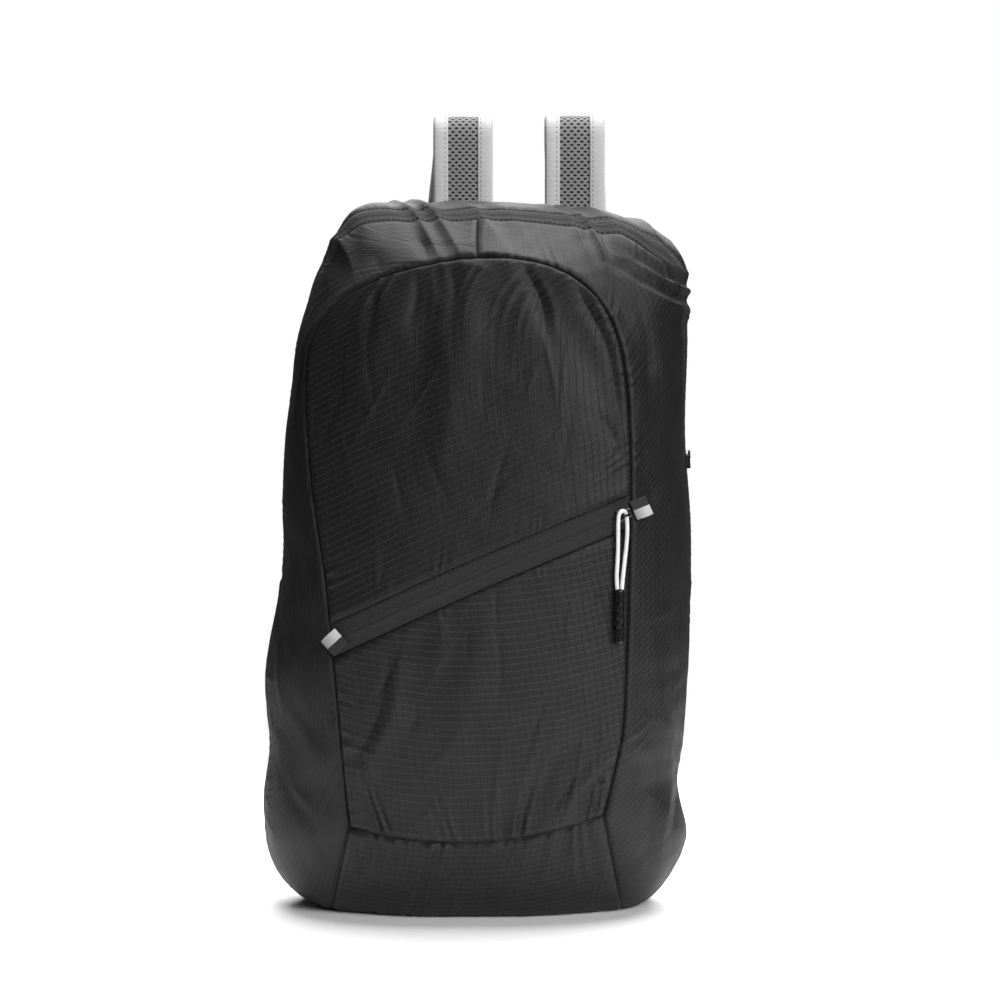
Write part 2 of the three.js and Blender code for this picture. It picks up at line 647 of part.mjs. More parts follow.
function strapPath(strap) {
  const x = strap.top * BAG_WIDTH;
  const topZ = BAG_HEIGHT * along(BAND, "backZ", TOP_CENTRE) - STRAP_SEAM_DROP;
  const rear = ["back_panel", "band_rear_top"];
  const behind = (px, low, high) => reachOf(rear, 1, px, STRAP_WIDTH / 2 + NEAR, low - NEAR, high + NEAR);
  const frontY = behind(x, topZ - STRAP_FOOT, BAG_HEIGHT) + FIT + STRAP_PAD / 2 + FIT + BINDING_WALL;
  const bendZ = STRAP_TOP - STRAP_PAD / 2 - STRAP_BEND;
  const rearY = frontY + 2 * STRAP_BEND;
  const low = (share) => {
    const z = THREE.MathUtils.lerp(bendZ, STRAP_END, share);
    const px = THREE.MathUtils.lerp(x, strap.low * BAG_WIDTH, share ** 1.2);
    const lift = STRAP_LIFT * (1 - 0.4 * share) + STRAP_PAD / 2;
    const y = THREE.MathUtils.lerp(rearY, backDepth(px, z) + lift, Math.min(3 * share, 1));
    return new THREE.Vector3(px, y, z);
  };
  return new THREE.CatmullRomCurve3([
    new THREE.Vector3(x, frontY, topZ - STRAP_FOOT),
    new THREE.Vector3(x, frontY, topZ),
    new THREE.Vector3(x, frontY, bendZ - STRAP_BEND / 2),
    new THREE.Vector3(x, frontY + 0.29 * STRAP_BEND, bendZ + 0.71 * STRAP_BEND),
    new THREE.Vector3(x, frontY + STRAP_BEND, bendZ + STRAP_BEND),
    new THREE.Vector3(x, rearY - 0.29 * STRAP_BEND, bendZ + 0.71 * STRAP_BEND),
    low(0.02),
    low(0.25),
    low(0.5),
    low(0.75),
    low(1),
  ]);
}

// Shares of a strap's length, closer together where it turns over.
function strapShares() {
  return joined(steps(0, 0.13, 3), steps(0.13, 0.27, 8), steps(0.27, 1, 10));
}

function addStraps() {
  for (const strap of STRAPS) {
    const frames = bandFrames(strapPath(strap), strapShares());
    const half = STRAP_WIDTH / 2;
    const core = half - BINDING_WALL - FIT;
    const pad = STRAP_PAD / 2;
    const face = pad + FIT;
    const skin = face + BINDING_WALL;
    const name = "strap_" + strap.side;
    const side = pad - 0.8 * PAD_EDGE;
    const top = core - PAD_EDGE;
    const padOutline = outlineOf([
      [-core, -side], [-core, side], [-top, pad], [top, pad],
      [core, side], [core, -side], [top, -pad], [-top, -pad],
    ]);
    add(name + "_pad", carriedGeometry(padOutline, frames), GREY_MESH);
    for (const [label, sign] of [["left", -1], ["right", 1]]) {
      const reach = (half - BINDING_WIDTH) * sign;
      const binding = outlineOf([
        [reach, face], [(core + FIT) * sign, face], [(core + FIT) * sign, -face], [reach, -face],
        [reach, -skin], [half * sign, -skin], [half * sign, skin], [reach, skin],
      ]);
      add(name + "_binding_" + label, carriedGeometry(binding, frames), WHITE_GREY);
    }
    addBuckle(strap, frames[frames.length - 1]);
  }
}

// A path in the plane of a band: down the strap and square to it, from its last frame.
function planePoint(frame, down, out) {
  const ahead = frame.out.clone().cross(frame.across);
  return frame.place.clone().addScaledVector(ahead, down).addScaledVector(frame.out, out);
}

const LOOP_BEND_STEPS = 6;
const WEB_TURN = 6; // steps over which the webbing turns level with the strap

// Points of webbing that goes down one face, round a bar and up the other.
function roundBar(frame, barDown, radius, direction) {
  return steps(0, Math.PI, LOOP_BEND_STEPS).map((turn) =>
    planePoint(frame, barDown + direction * radius * Math.sin(turn), -radius * Math.cos(turn)),
  );
}

function framesOf(points, acrossAt) {
  return points.map((place, i) => {
    const firstAcross = acrossAt(i);
    const before = points[Math.max(i - 1, 0)];
    const after = points[Math.min(i + 1, points.length - 1)];
    const tangent = after.clone().sub(before).normalize();
    const across = firstAcross.clone().addScaledVector(tangent, -tangent.dot(firstAcross)).normalize();
    return { place, across, out: across.clone().cross(tangent).normalize() };
  });
}

function addBuckle(strap, frame) {
  const name = "strap_" + strap.side;
  const half = WEB_WIDTH / 2;
  const web = outlineOf([
    [-half, -WEB_WALL / 2], [half, -WEB_WALL / 2], [half, WEB_WALL / 2], [-half, WEB_WALL / 2],
  ]);
  const pitch = BUCKLE_BAR + BUCKLE_SLOT;
  const topBar = LOOP_LENGTH + BUCKLE_BAR / 2;
  const radius = Math.hypot(BUCKLE_BAR / 2, BUCKLE_WALL / 2) + FIT + WEB_WALL / 2;
  const ply = (WEB_WALL + FIT) / 2;

  const loopPoints = [
    planePoint(frame, FIT, -ply),
    ...roundBar(frame, topBar, radius, 1),
    planePoint(frame, FIT, ply),
  ];
  add(name + "_loop", carriedGeometry(web, framesOf(loopPoints, () => frame.across)), BLACK_TAPE);

  const shape = new THREE.Shape();
  const outer = BUCKLE_WIDTH / 2;
  const high = 2 * pitch + BUCKLE_BAR;
  shape.moveTo(-outer, 0).lineTo(outer, 0).lineTo(outer, high).lineTo(-outer, high).closePath();
  for (const bar of [0, 1]) {
    const from = BUCKLE_BAR + bar * pitch;
    const inner = half + 1;
    const hole = new THREE.Path();
    hole.moveTo(-inner, from).lineTo(-inner, from + BUCKLE_SLOT);
    hole.lineTo(inner, from + BUCKLE_SLOT).lineTo(inner, from).closePath();
    shape.holes.push(hole);
  }
  const plate = new THREE.ExtrudeGeometry(shape, { depth: BUCKLE_WALL, bevelEnabled: false, steps: 1 });
  const ahead = frame.out.clone().cross(frame.across);
  const corner = planePoint(frame, topBar - BUCKLE_BAR / 2, -BUCKLE_WALL / 2);
  plate.applyMatrix4(new THREE.Matrix4().makeBasis(frame.across, ahead, frame.out));
  plate.translate(corner.x, corner.y, corner.z);
  add(name + "_buckle", plate, BLACK_PLASTIC);

  const secondBar = topBar + pitch;
  const lowBar = secondBar + pitch;
  const footX = strap.foot * BAG_WIDTH;
  const footZ = BAG_HEIGHT * BAND[0].backZ + WEB_FOOT_RISE;
  const onBack = (x, z) => new THREE.Vector3(x, backDepth(x, z) + 2 * FIT + WEB_WALL / 2, z);
  const foot = onBack(footX, footZ);
  const above = onBack(footX, footZ + WEB_FOOT);
  const level = onBack(footX + half, footZ).sub(onBack(footX - half, footZ)).normalize();
  const belowBars = planePoint(frame, lowBar + pitch, -radius);
  const atBar = planePoint(frame, secondBar + FIT, -radius);
  const load = new THREE.CatmullRomCurve3([foot, above, belowBars, atBar]);
  const tail = steps(0, 1, 5).map((share) => {
    const p = planePoint(frame, secondBar + share * WEB_TAIL, radius);
    p.y += WEB_TAIL_LIFT * share;
    return p;
  });
  const round = roundBar(frame, secondBar, radius, -1);
  const webPoints = [...load.getSpacedPoints(10).slice(0, -1), ...round, ...tail.slice(1)];
  const levelAt = (i) => level.clone().lerp(frame.across, Math.min(i / WEB_TURN, 1));
  add(name + "_webbing", carriedGeometry(web, framesOf(webPoints, levelAt)), BLACK_TAPE);
}

// A place on the middle of the pocket zip, some way from its left end, and the directions there.
const zipMiddle = new THREE.CatmullRomCurve3(
  zipLowEdge.map((low, k) => {
    const p = low.clone().lerp(zipUpEdge[k], 0.5);
    p.y = frontDepth(p.x, p.z);
    return p;
  }),
);
const pocketZipLength = zipMiddle.getLength();

function onPocketZip(distance) {
  const share = distance / pocketZipLength;
  const place = zipMiddle.getPointAt(share);
  const ahead = zipMiddle.getTangentAt(share);
  const out = outward(place);
  const across = ahead.clone().cross(out).normalize();
  return { place, ahead, across, out: across.clone().cross(ahead).normalize() };
}

const wasm = await Module();
wasm.setup();

function solid(geometry) {
  const merged = mergeVertices(new THREE.BufferGeometry()
    .setAttribute("position", geometry.getAttribute("position"))
    .setIndex(geometry.index));
  return new wasm.Manifold(new wasm.Mesh({
    numProp: 3,
    vertProperties: merged.getAttribute("position").array,
    triVerts: new Uint32Array(merged.index.array),
  }));
}

function joinedGeometry(first, second) {
  const mesh = solid(first).add(solid(second)).getMesh();
  const geometry = new THREE.BufferGeometry();
  geometry.setAttribute("position", new THREE.BufferAttribute(mesh.vertProperties, 3));
  geometry.setIndex(new THREE.BufferAttribute(mesh.triVerts, 1));
  geometry.computeVertexNormals();
  return geometry;
}

// A slider straddles the coil. Its eye stands on top, with its hole across the zip, or lies flat over the
// end of the slider.
function sliderGeometry({ place, ahead, across, out }, lying = false) {
  const half = SLIDER_WIDTH / 2;
  const coil = COIL_HALF * ZIP_WIDTH + FIT;
  const body = outlineOf([
    [-half, SEAT], [-coil, SEAT], [0, COIL_RISE + SEAT], [coil, SEAT], [half, SEAT],
    [half, 0.6 * SLIDER_HEIGHT], [0.6 * half, SLIDER_HEIGHT], [-0.6 * half, SLIDER_HEIGHT],
    [-half, 0.6 * SLIDER_HEIGHT],
  ]);
  const frames = [-0.5, 0.5].map((end) => ({
    place: place.clone().addScaledVector(ahead, end * SLIDER_LENGTH),
    across: across.clone().multiplyScalar(end > 0 ? 0.7 : 1),
    out,
  }));
  const hole = CORD_DIAMETER / 2 + CORD_FIT;
  const ring = new THREE.Shape().absarc(0, 0, hole + EYE_WIRE, 0, 2 * Math.PI);
  ring.holes.push(new THREE.Path().absarc(0, 0, hole, 0, 2 * Math.PI, true));
  const settings = { depth: EYE_WIRE, bevelEnabled: false, curveSegments: 6, steps: 1 };
  const eye = new THREE.ExtrudeGeometry(ring, settings);
  if (lying) {
    eye.rotateX(Math.PI / 2);
    eye.translate(-SLIDER_LENGTH / 2, SLIDER_HEIGHT - SEAT / 2 + EYE_WIRE / 2, 0);
  } else {
    eye.translate(0, SLIDER_HEIGHT + hole + 0.3 * EYE_WIRE, -EYE_WIRE / 2);
  }
  eye.applyMatrix4(new THREE.Matrix4().makeBasis(ahead, out, across));
  eye.translate(place.x, place.y, place.z);
  return joinedGeometry(carriedGeometry(body, frames), eye);
}

// A ribbon tab lies over the end of a zip, along a row of places on the cloth.
function tabGeometry(places, across, lift) {
  const half = TAB_WIDTH / 2;
  const ribbon = outlineOf([
    [-half, lift], [half, lift], [half, lift + 2 * TAB_WALL], [-half, lift + 2 * TAB_WALL],
  ]);
  const frames = places.map((place) => {
    const out = outward(place);
    const level = across.clone().addScaledVector(out, -out.dot(across)).normalize();
    return { place, across: level, out };
  });
  return carriedGeometry(ribbon, frames);
}

function addPocketFittings() {
  const slider = onPocketZip(pocketZipLength - SLIDER_INSET);
  add("pocket_zip_slider", sliderGeometry(slider), BLACK_METAL);

  const cordPoints = CORD_ROUTE.map((p) => new THREE.Vector3(...p).add(slider.place));
  const route = new THREE.CatmullRomCurve3(cordPoints);
  const round = new THREE.Shape();
  for (let i = 0; i < CORD_SIDES; i++) {
    const turn = (2 * Math.PI * i) / CORD_SIDES;
    const spot = [(CORD_DIAMETER / 2) * Math.cos(turn), (CORD_DIAMETER / 2) * Math.sin(turn)];
    if (i) round.lineTo(...spot);
    else round.moveTo(...spot);
  }
  round.closePath();
  const settings = { extrudePath: route, steps: CORD_STEPS, bevelEnabled: false };
  add("pull_cord", new THREE.ExtrudeGeometry(round, settings), WHITE_CORD);

  const mouth = cordPoints[0].clone().lerp(cordPoints[cordPoints.length - 1], 0.5);
  const pitch = GRIP_LENGTH / (GRIP_FACETS + 2.5);
  const wide = GRIP_DIAMETER / 2;
  const profile = [[0, 0], [0.72 * wide, 0], [wide, 0.5 * pitch], [wide, 1 * pitch]];
  for (let i = 0; i < GRIP_FACETS; i++) {
    profile.push([0.72 * wide, (1.25 + i) * pitch], [wide, (1.75 + i) * pitch]);
  }
  profile.push([wide, GRIP_LENGTH - 0.3 * pitch], [0.9 * wide, GRIP_LENGTH], [0, GRIP_LENGTH]);
  const grip = new THREE.LatheGeometry(profile.map(([r, z]) => new THREE.Vector2(r, z)), 8);
  grip.rotateX(Math.PI / 2);
  grip.translate(mouth.x, mouth.y, mouth.z - FIT - GRIP_LENGTH);
  add("pull_grip", grip, BLACK_PLASTIC);

  const inLeft = onPocketZip(TAB_LENGTH);
  const left = [onPocketZip(TAB_LENGTH).place, onPocketZip(TAB_LENGTH / 2).place, onPocketZip(0.5).place];
  add("pocket_tab_left", tabGeometry(left, inLeft.across, COIL_RISE + FIT), BLACK_TAPE);
  const middleRight = (upRight + lowRight) / 2;
  const right = [0.012, 0.045, 0.08].map((across) => bandPoint(middleRight, across));
  add("pocket_tab_right", tabGeometry(right, slider.across, 2 * SEAT), BLACK_TAPE);
}

// The long zip's slider stands at its right end, behind the right edge of the front view.
function addMainSlider() {
  const station = nearest(rightStations, rightEnd - 1);
  const share = (zipEdge(station, -1) + zipEdge(station, 1)) / 2;
  const place = bandPoint(station, share);
  const ahead = bandPoint(station + 0.1, share).sub(bandPoint(station - 0.1, share)).normalize();
  const level = bandPoint(station, share + 0.04).sub(bandPoint(station, share - 0.04));
  const across = level.addScaledVector(ahead, -level.dot(ahead)).normalize();
  const out = across.clone().cross(ahead).normalize();
  if (out.dot(outward(place)) < 0) {
    across.negate();
    out.negate();
  }
  add("main_zip_slider", sliderGeometry({ place, ahead, across, out }, true), BLACK_METAL);
}

addFrontPanels();
addPocketZip();
addSideBand();
addBackAndBase();
addStraps();
addPocketFittings();
addMainSlider();

export default group;
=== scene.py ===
import math

import bpy
import numpy as np
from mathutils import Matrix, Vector


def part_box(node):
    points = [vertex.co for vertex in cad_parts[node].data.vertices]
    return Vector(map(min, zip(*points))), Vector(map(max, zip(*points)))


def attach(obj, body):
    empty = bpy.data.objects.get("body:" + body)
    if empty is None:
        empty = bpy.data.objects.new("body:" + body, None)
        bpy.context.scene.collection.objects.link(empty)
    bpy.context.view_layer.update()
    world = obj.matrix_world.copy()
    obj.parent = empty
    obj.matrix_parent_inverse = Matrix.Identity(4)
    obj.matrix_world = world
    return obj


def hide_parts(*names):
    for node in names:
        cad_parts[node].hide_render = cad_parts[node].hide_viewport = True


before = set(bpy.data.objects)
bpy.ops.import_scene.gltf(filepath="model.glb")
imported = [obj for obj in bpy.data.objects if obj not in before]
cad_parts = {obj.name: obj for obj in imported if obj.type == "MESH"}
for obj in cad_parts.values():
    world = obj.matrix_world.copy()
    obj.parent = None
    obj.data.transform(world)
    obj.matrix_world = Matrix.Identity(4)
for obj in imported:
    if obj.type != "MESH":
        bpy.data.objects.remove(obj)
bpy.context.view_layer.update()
MM = 0.001

# Sizes of the cloth body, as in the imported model
BAG_WIDTH = 0.264
BAG_HEIGHT = 0.440
BAG_DEPTH = 0.142
SEAM_GAP = 0.3 * MM
REST_SOFT = 4 * MM
FRONT_ROUND = 16 * MM
BACK_ROUND = 6 * MM
TOP_TWIST = 0.15
BOTTOM_SEAM_SAG = 12 * MM
BACK_SEAM_SAG = 4 * MM
ZIP_WIDTH = 18 * MM
MAIN_ZIP_END = 0.47
POCKET_ZIP_LEFT = 0.398
POCKET_ZIP_RIGHT = 0.577
POCKET_ZIP_BOW = 3 * MM
COIL_HALF = 0.16

# Wall of the cloth that shows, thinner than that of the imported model
CLOTH = 0.8 * MM

# Straps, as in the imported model
STRAP_WIDTH = 38 * MM
STRAP_PAD = 4 * MM
STRAP_TOP = 494 * MM
STRAP_BEND = 13 * MM
STRAP_FOOT = 22 * MM
STRAP_END = 158 * MM
STRAP_LIFT = 22 * MM
BINDING_WIDTH = 9.5 * MM
BINDING_WALL = 1 * MM
FIT = 0.3 * MM
# Where each strap is sewn on, where its pad ends and where its webbing is sewn in, from the bag's middle
STRAPS = [
    {"side": "left", "x": -10 * MM, "low_x": -58 * MM, "foot_x": -76 * MM},
    {"side": "right", "x": 61 * MM, "low_x": 80 * MM, "foot_x": 78 * MM},
]
STRAP_SEAM_DROP = 6 * MM
PAD_CROWN = 0.9 * MM

# Webbing and ladder buckles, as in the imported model
WEB_WIDTH = 20 * MM
WEB_WALL = 1.4 * MM
WEB_TAIL = 70 * MM
WEB_TAIL_LIFT = 3 * MM
WEB_FOOT = 14 * MM
WEB_FOOT_RISE = 12 * MM
BUCKLE_BAR = 4.5 * MM
BUCKLE_SLOT = 6 * MM
BUCKLE_WALL = 3 * MM
LOOP_LENGTH = 7 * MM
BUCKLE_PITCH = BUCKLE_BAR + BUCKLE_SLOT
TOP_BAR = LOOP_LENGTH + BUCKLE_BAR / 2
BAR_REACH = math.hypot(BUCKLE_BAR / 2, BUCKLE_WALL / 2) + FIT + WEB_WALL / 2

# Grip of the pull cord: its rings of corners are steps along its length
GRIP_LENGTH = 32 * MM
GRIP_DIAMETER = 6 * MM
GRIP_SIDES = 8
GRIP_RINGS = [0, 0.2, 1.9, 2.4, 2.9, 3.4, 3.9, 4.4, 4.9, 6.3, 6.5]

# End tabs of the pocket zip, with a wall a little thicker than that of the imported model
TAB_WIDTH = 12 * MM
TAB_WALL = 1.4 * MM

# Stitches, and the coil as it shows
STITCH = 2.1 * MM
STITCH_PITCH = 3 * MM
THREAD_WIDTH = 0.55 * MM
COIL_RISE = 0.9 * MM
COIL_TOOTH = 1.4 * MM

# Seams: pitch, height and reach of the puckers along a seam, and the depth of its tuck, in millimetres
SEAM_TUCK = 1.4
HEM_TUCK = 0.45
BODY_SEAM = (10, 1.0, 12, SEAM_TUCK)
CROWN_SEAM = (13, 1.3, 22, SEAM_TUCK)
GATHERED_SEAM = (9, 2.3, 34, SEAM_TUCK)
ZIP_SEAM = (7, 0.55, 8, HEM_TUCK)
PLAIN_SEAM = (12, 0.4, 8, HEM_TUCK)
TUCK_REACH = 1.3 * MM

# Fine relief of the cloth
SWELL = 0.6 * MM
SWELL_REACH = 4 * MM
CRUMPLE_SIZE = 0.07
FINE_CRUMPLE_SIZE = 0.026
CREASE_SPACING = 32 * MM
CREASE_LEAN = 75
TOP_GATHERS = 1.9 * MM
TOP_GATHER_PITCH = 21 * MM
SHOULDER_LOBES = 2.6 * MM
SHOULDER_LOBE_PITCH = 15 * MM
ZIP_RIPPLE = 0.25 * MM
ZIP_RIPPLE_PITCH = 8 * MM

# Patterns of the materials, in millimetres
RIPSTOP_PITCH = 4.2
RIB_WIDTH = 0.4
PLAIN_THREAD = 0.55
HOLE_PITCH = 4.3
HOLE_ROW = 2.1

# The studio: the sun's strength and its spread in degrees, the room's own light, the softboxes' power in
# watts, with their places, aims and sizes, and half the paper's width, in metres
OVERHEAD = 5.3
SKY_WIDTH = 66
SKY_DIRECTION = (-0.12, -0.3, -1)
ROOM_FILL = 0.04
RIGHT_SOFTBOX = 34
BACK_SOFTBOX = 20
SOFTBOXES = [
    ("right_softbox", (0.95, -1.55, 1.05), (0, 0, 0.28), (0.9, 1.1), RIGHT_SOFTBOX),
    ("back_softbox", (0.1, 1.7, 1.25), (0, 0, 0.45), (1.9, 0.7), BACK_SOFTBOX),
]
PAPER_REACH = 0.45

# Camera, and the photograph's frame that the creases below are placed in
PHOTO_SIZE = 1000
CAMERA_AIM = Vector((13.6 * MM, 0, 255 * MM))
CAMERA_RISE = math.radians(5)
CAMERA_DISTANCE = 1.8
CAMERA_LENS = 104.5
SENSOR = 36

# The pull cord goes up from its grip, through the eye of the pocket zip's slider and back down: its points
# from the middle of the slider, in millimetres
CORD_DIAMETER = 2.4 * MM
SLIDER_INSET = 5.5 * MM
CORD_ROUTE = [
    (-3.57, -5.97, -44.44),
    (-3.97, -5.77, -37.04),
    (-3.37, -5.57, -24.04),
    (-3.27, -5.67, -12.04),
    (-3.17, -5.97, -4.04),
    (-2.97, -6.27, -0.44),
    (-1.57, -6.07, 2.26),
    (0.33, -5.37, 2.26),
    (1.53, -4.97, 0.36),
    (2.03, -4.77, -2.74),
    (2.23, -4.67, -10.54),
    (1.78, -4.77, -17.79),
    (1.03, -4.97, -25.04),
    (-0.37, -5.67, -38.04),
    (-0.87, -5.97, -44.44),
]


def table(columns, rows):
    """Turns rows of numbers into one array for each named column."""
    return {name: np.array([row[i] for row in rows], float) for i, name in enumerate(columns)}


# One row for each section across the side band, from the left end of the base over the top to the right.
# X is a share of the bag's width and Z of its height. outY shifts the outermost line back by a share of its
# depth. zip is where the long zip runs across the band, and round is how square the section is.
BAND = table(
    ["frontX", "frontZ", "outX", "outZ", "backX", "backZ", "outY", "zip", "round"],
    [
        [-0.295, 0.14, -0.35, -0.016, -0.318, 0.06, 0.06, 0.56, 4],
        [-0.299, 0.161, -0.444, 0.028, -0.348, 0.12, 0, 0.56, 2.8],
        [-0.303, 0.184, -0.494, 0.08, -0.367, 0.157, 0, 0.56, 2.4],
        [-0.309, 0.224, -0.504, 0.16, -0.379, 0.203, 0, 0.56, 2.3],
        [-0.318, 0.288, -0.491, 0.235, -0.383, 0.265, 0, 0.56, 2.2],
        [-0.33, 0.369, -0.498, 0.345, -0.386, 0.357, 0, 0.56, 2.2],
        [-0.348, 0.475, -0.46, 0.479, -0.383, 0.475, 0, 0.56, 2.2],
        [-0.383, 0.611, -0.458, 0.604, -0.371, 0.604, 0, 0.56, 2.2],
        [-0.398, 0.726, -0.437, 0.724, -0.348, 0.733, 0, 0.54, 2.2],
        [-0.384, 0.806, -0.405, 0.834, -0.311, 0.843, 0, 0.47, 2.2],
        [-0.314, 0.859, -0.362, 0.919, -0.265, 0.917, 0.01, 0.42, 2.1],
        [-0.227, 0.892, -0.292, 0.985, -0.197, 0.963, 0.02, 0.38, 2],
        [-0.114, 0.912, -0.144, 0.994, -0.095, 0.982, 0.03, 0.37, 2],
        [0, 0.922, 0.008, 0.993, 0.053, 0.984, 0.03, 0.37, 2],
        [0.114, 0.918, 0.159, 0.988, 0.197, 0.98, 0.03, 0.37, 2],
        [0.208, 0.899, 0.295, 0.978, 0.303, 0.963, 0.02, 0.38, 2],
        [0.273, 0.864, 0.394, 0.959, 0.379, 0.935, 0, 0.4, 2.1],
        [0.318, 0.816, 0.477, 0.903, 0.424, 0.885, 0, 0.45, 2.2],
        [0.341, 0.742, 0.481, 0.811, 0.439, 0.795, 0, 0.54, 2.2],
        [0.35, 0.634, 0.477, 0.673, 0.432, 0.668, 0, 0.61, 2.2],
        [0.347, 0.518, 0.496, 0.535, 0.417, 0.53, 0, 0.63, 2.2],
        [0.343, 0.392, 0.496, 0.396, 0.394, 0.396, 0, 0.6, 2.2],
        [0.335, 0.281, 0.485, 0.258, 0.379, 0.258, 0, 0.56, 2.2],
        [0.316, 0.221, 0.47, 0.175, 0.371, 0.194, 0, 0.56, 2.3],
        [0.301, 0.182, 0.489, 0.1, 0.364, 0.143, 0, 0.56, 2.4],
        [0.295, 0.168, 0.433, 0.03, 0.345, 0.106, 0, 0.56, 2.8],
        [0.29, 0.157, 0.345, -0.016, 0.318, 0.06, 0.06, 0.56, 4],
    ],
)
LEFT_SHOULDER = 10
TOP_CENTRE = 13
RIGHT_SHOULDER = 16
LAST = len(BAND["zip"]) - 1

# Depth of the middle of the front and back at equal steps of height, as shares of the depth.
DEPTHS = table(
    ["front", "back"],
    [
        [-0.42, 0.39],
        [-0.495, 0.42],
        [-0.53, 0.45],
        [-0.54, 0.465],
        [-0.525, 0.465],
        [-0.497, 0.458],
        [-0.45, 0.45],
        [-0.377, 0.444],
        [-0.225, 0.425],
    ],
)

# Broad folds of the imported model, as shares of the bag's width, at and up of its width and height.
FOLDS = table(
    ["at", "up", "degrees", "length", "width", "rise"],
    [
        [-0.11, 0.855, 82, 0.2, 0.06, -0.014],
        [-0.02, 0.85, 84, 0.24, 0.08, 0.012],
        [0.16, 0.86, 108, 0.26, 0.07, -0.016],
        [-0.24, 0.8, 70, 0.26, 0.08, 0.012],
        [0.27, 0.76, 112, 0.34, 0.07, -0.014],
        [-0.02, 0.33, 78, 0.3, 0.09, 0.012],
        [0.16, 0.21, 52, 0.36, 0.07, -0.016],
        [0.23, 0.2, 58, 0.28, 0.06, 0.014],
        [-0.23, 0.26, 72, 0.34, 0.07, 0.01],
        [-0.42, 0.22, 88, 0.3, 0.09, -0.012],
        [0.42, 0.3, 92, 0.5, 0.07, 0.012],
        [0.38, 0.78, 116, 0.36, 0.07, -0.016],
    ],
)

# Creases seen in the photograph: ends in its pixels, half width and rise in millimetres.
CREASES = table(
    ["x0", "y0", "x1", "y1", "half", "rise"],
    [
        [440, 300, 436, 500, 15, 1.9],
        [412, 300, 408, 480, 17, -1.2],
        [523, 262, 548, 335, 3.5, -1.8],
        [532, 262, 560, 340, 4, 1.0],
        [578, 285, 622, 415, 3.2, -1.6],
        [590, 290, 628, 400, 3.2, 1.2],
        [596, 410, 622, 460, 3, -1.0],
        [372, 283, 366, 345, 3.5, -1.0],
        [415, 266, 408, 330, 3.5, -1.1],
        [430, 264, 428, 320, 3, 0.9],
        [450, 262, 452, 330, 3.5, -1.0],
        [455, 264, 492, 271, 2.5, 0.8],
        [441, 612, 433, 670, 7, 1.4],
        [392, 645, 350, 775, 4, -1.5],
        [402, 650, 368, 770, 5, 1.2],
        [418, 698, 408, 735, 3, -0.8],
        [572, 820, 612, 768, 3, -1.4],
        [552, 808, 620, 736, 3.2, -1.3],
        [564, 812, 620, 748, 3, 1.2],
        [540, 800, 600, 730, 5, 0.9],
        [598, 590, 606, 650, 3, -0.8],
        [352, 832, 364, 886, 2.6, -1.6],
        [375, 838, 361, 884, 2.6, -1.4],
        [363, 834, 364, 870, 3, 1.4],
        [442, 845, 420, 892, 4, 1.2],
        [470, 842, 452, 885, 3, -1.0],
        [500, 840, 520, 880, 3, -1.0],
        [540, 832, 556, 870, 3, 1.0],
        [580, 824, 600, 872, 3, -1.1],
        [413, 232, 427, 260, 4, -2.0],
        [366, 250, 384, 280, 7, -1.3],
        [645, 478, 656, 512, 5, -1.6],
        [650, 700, 648, 880, 4, -1.4],
        [662, 690, 664, 870, 4, 1.3],
        [640, 590, 652, 690, 5, 1.0],
        [672, 700, 676, 860, 3, -1.0],
        [655, 330, 672, 470, 6, 1.2],
        [640, 300, 652, 400, 4, -1.3],
        [622, 700, 640, 830, 4, 1.1],
        [300, 560, 306, 700, 10, -0.8],
        [322, 700, 330, 840, 5, -1.0],
        [660, 250, 676, 292, 3, -2.6],
        [668, 246, 684, 284, 3, 2.2],
        [676, 268, 690, 300, 3, -2.0],
    ],
)


def camera_directions():
    """Forward, right and up of the camera."""
    forward = Vector((0, math.cos(CAMERA_RISE), -math.sin(CAMERA_RISE)))
    right = Vector((1, 0, 0))
    return forward, right, right.cross(forward)


def add_camera():
    data = bpy.data.cameras.new("camera")
    data.lens = CAMERA_LENS
    data.sensor_width = SENSOR
    camera = bpy.data.objects.new("camera", data)
    camera.location = CAMERA_AIM - CAMERA_DISTANCE * camera_directions()[0]
    camera.rotation_euler = (math.pi / 2 - CAMERA_RISE, 0, 0)
    bpy.context.collection.objects.link(camera)
    bpy.context.scene.camera = camera


def photo_place(px, py, y=-0.065):
    """X and Z of a photograph's pixel on the upright plane at a depth y."""
    forward, right, up = camera_directions()
    focal = CAMERA_LENS / SENSOR * PHOTO_SIZE
    across = (np.asarray(px, float) - PHOTO_SIZE / 2) / focal
    down = (np.asarray(py, float) - PHOTO_SIZE / 2) / focal
    ray_y = forward.y - down * up.y
    ray_z = forward.z - down * up.z
    start = CAMERA_AIM - CAMERA_DISTANCE * forward
    reach = (y - start.y) / ray_y
    return start.x + reach * across, start.z + reach * ray_z


# Shape of the bag


def smoothstep(value, low, high):
    share = np.clip((value - low) / (high - low), 0, 1)
    return share * share * (3 - 2 * share)


def along(columns, name, place):
    """The uniform Catmull-Rom spline through a column of a table, at places counted in rows."""
    values = columns[name]
    ends = [2 * values[0] - values[1]], [2 * values[-1] - values[-2]]
    points = np.concatenate([ends[0], values, ends[1]])
    place = np.asarray(place, float)
    row = np.clip(np.floor(place).astype(int), 0, len(values) - 2)
    t = place - row
    before, a, b, after = (points[row + k] for k in range(4))
    enter = (b - before) / 2
    leave = (after - a) / 2
    return a + t * (enter + t * (3 * (b - a) - 2 * enter - leave + t * (2 * (a - b) + enter + leave)))


def twist_at(z):
    return TOP_TWIST * smoothstep(z, 0.3 * BAG_HEIGHT, 0.95 * BAG_HEIGHT)


def depth_at(side, z):
    place = np.clip(z / BAG_HEIGHT, 0, 1) * (len(DEPTHS[side]) - 1)
    return BAG_DEPTH * along(DEPTHS, side, place)


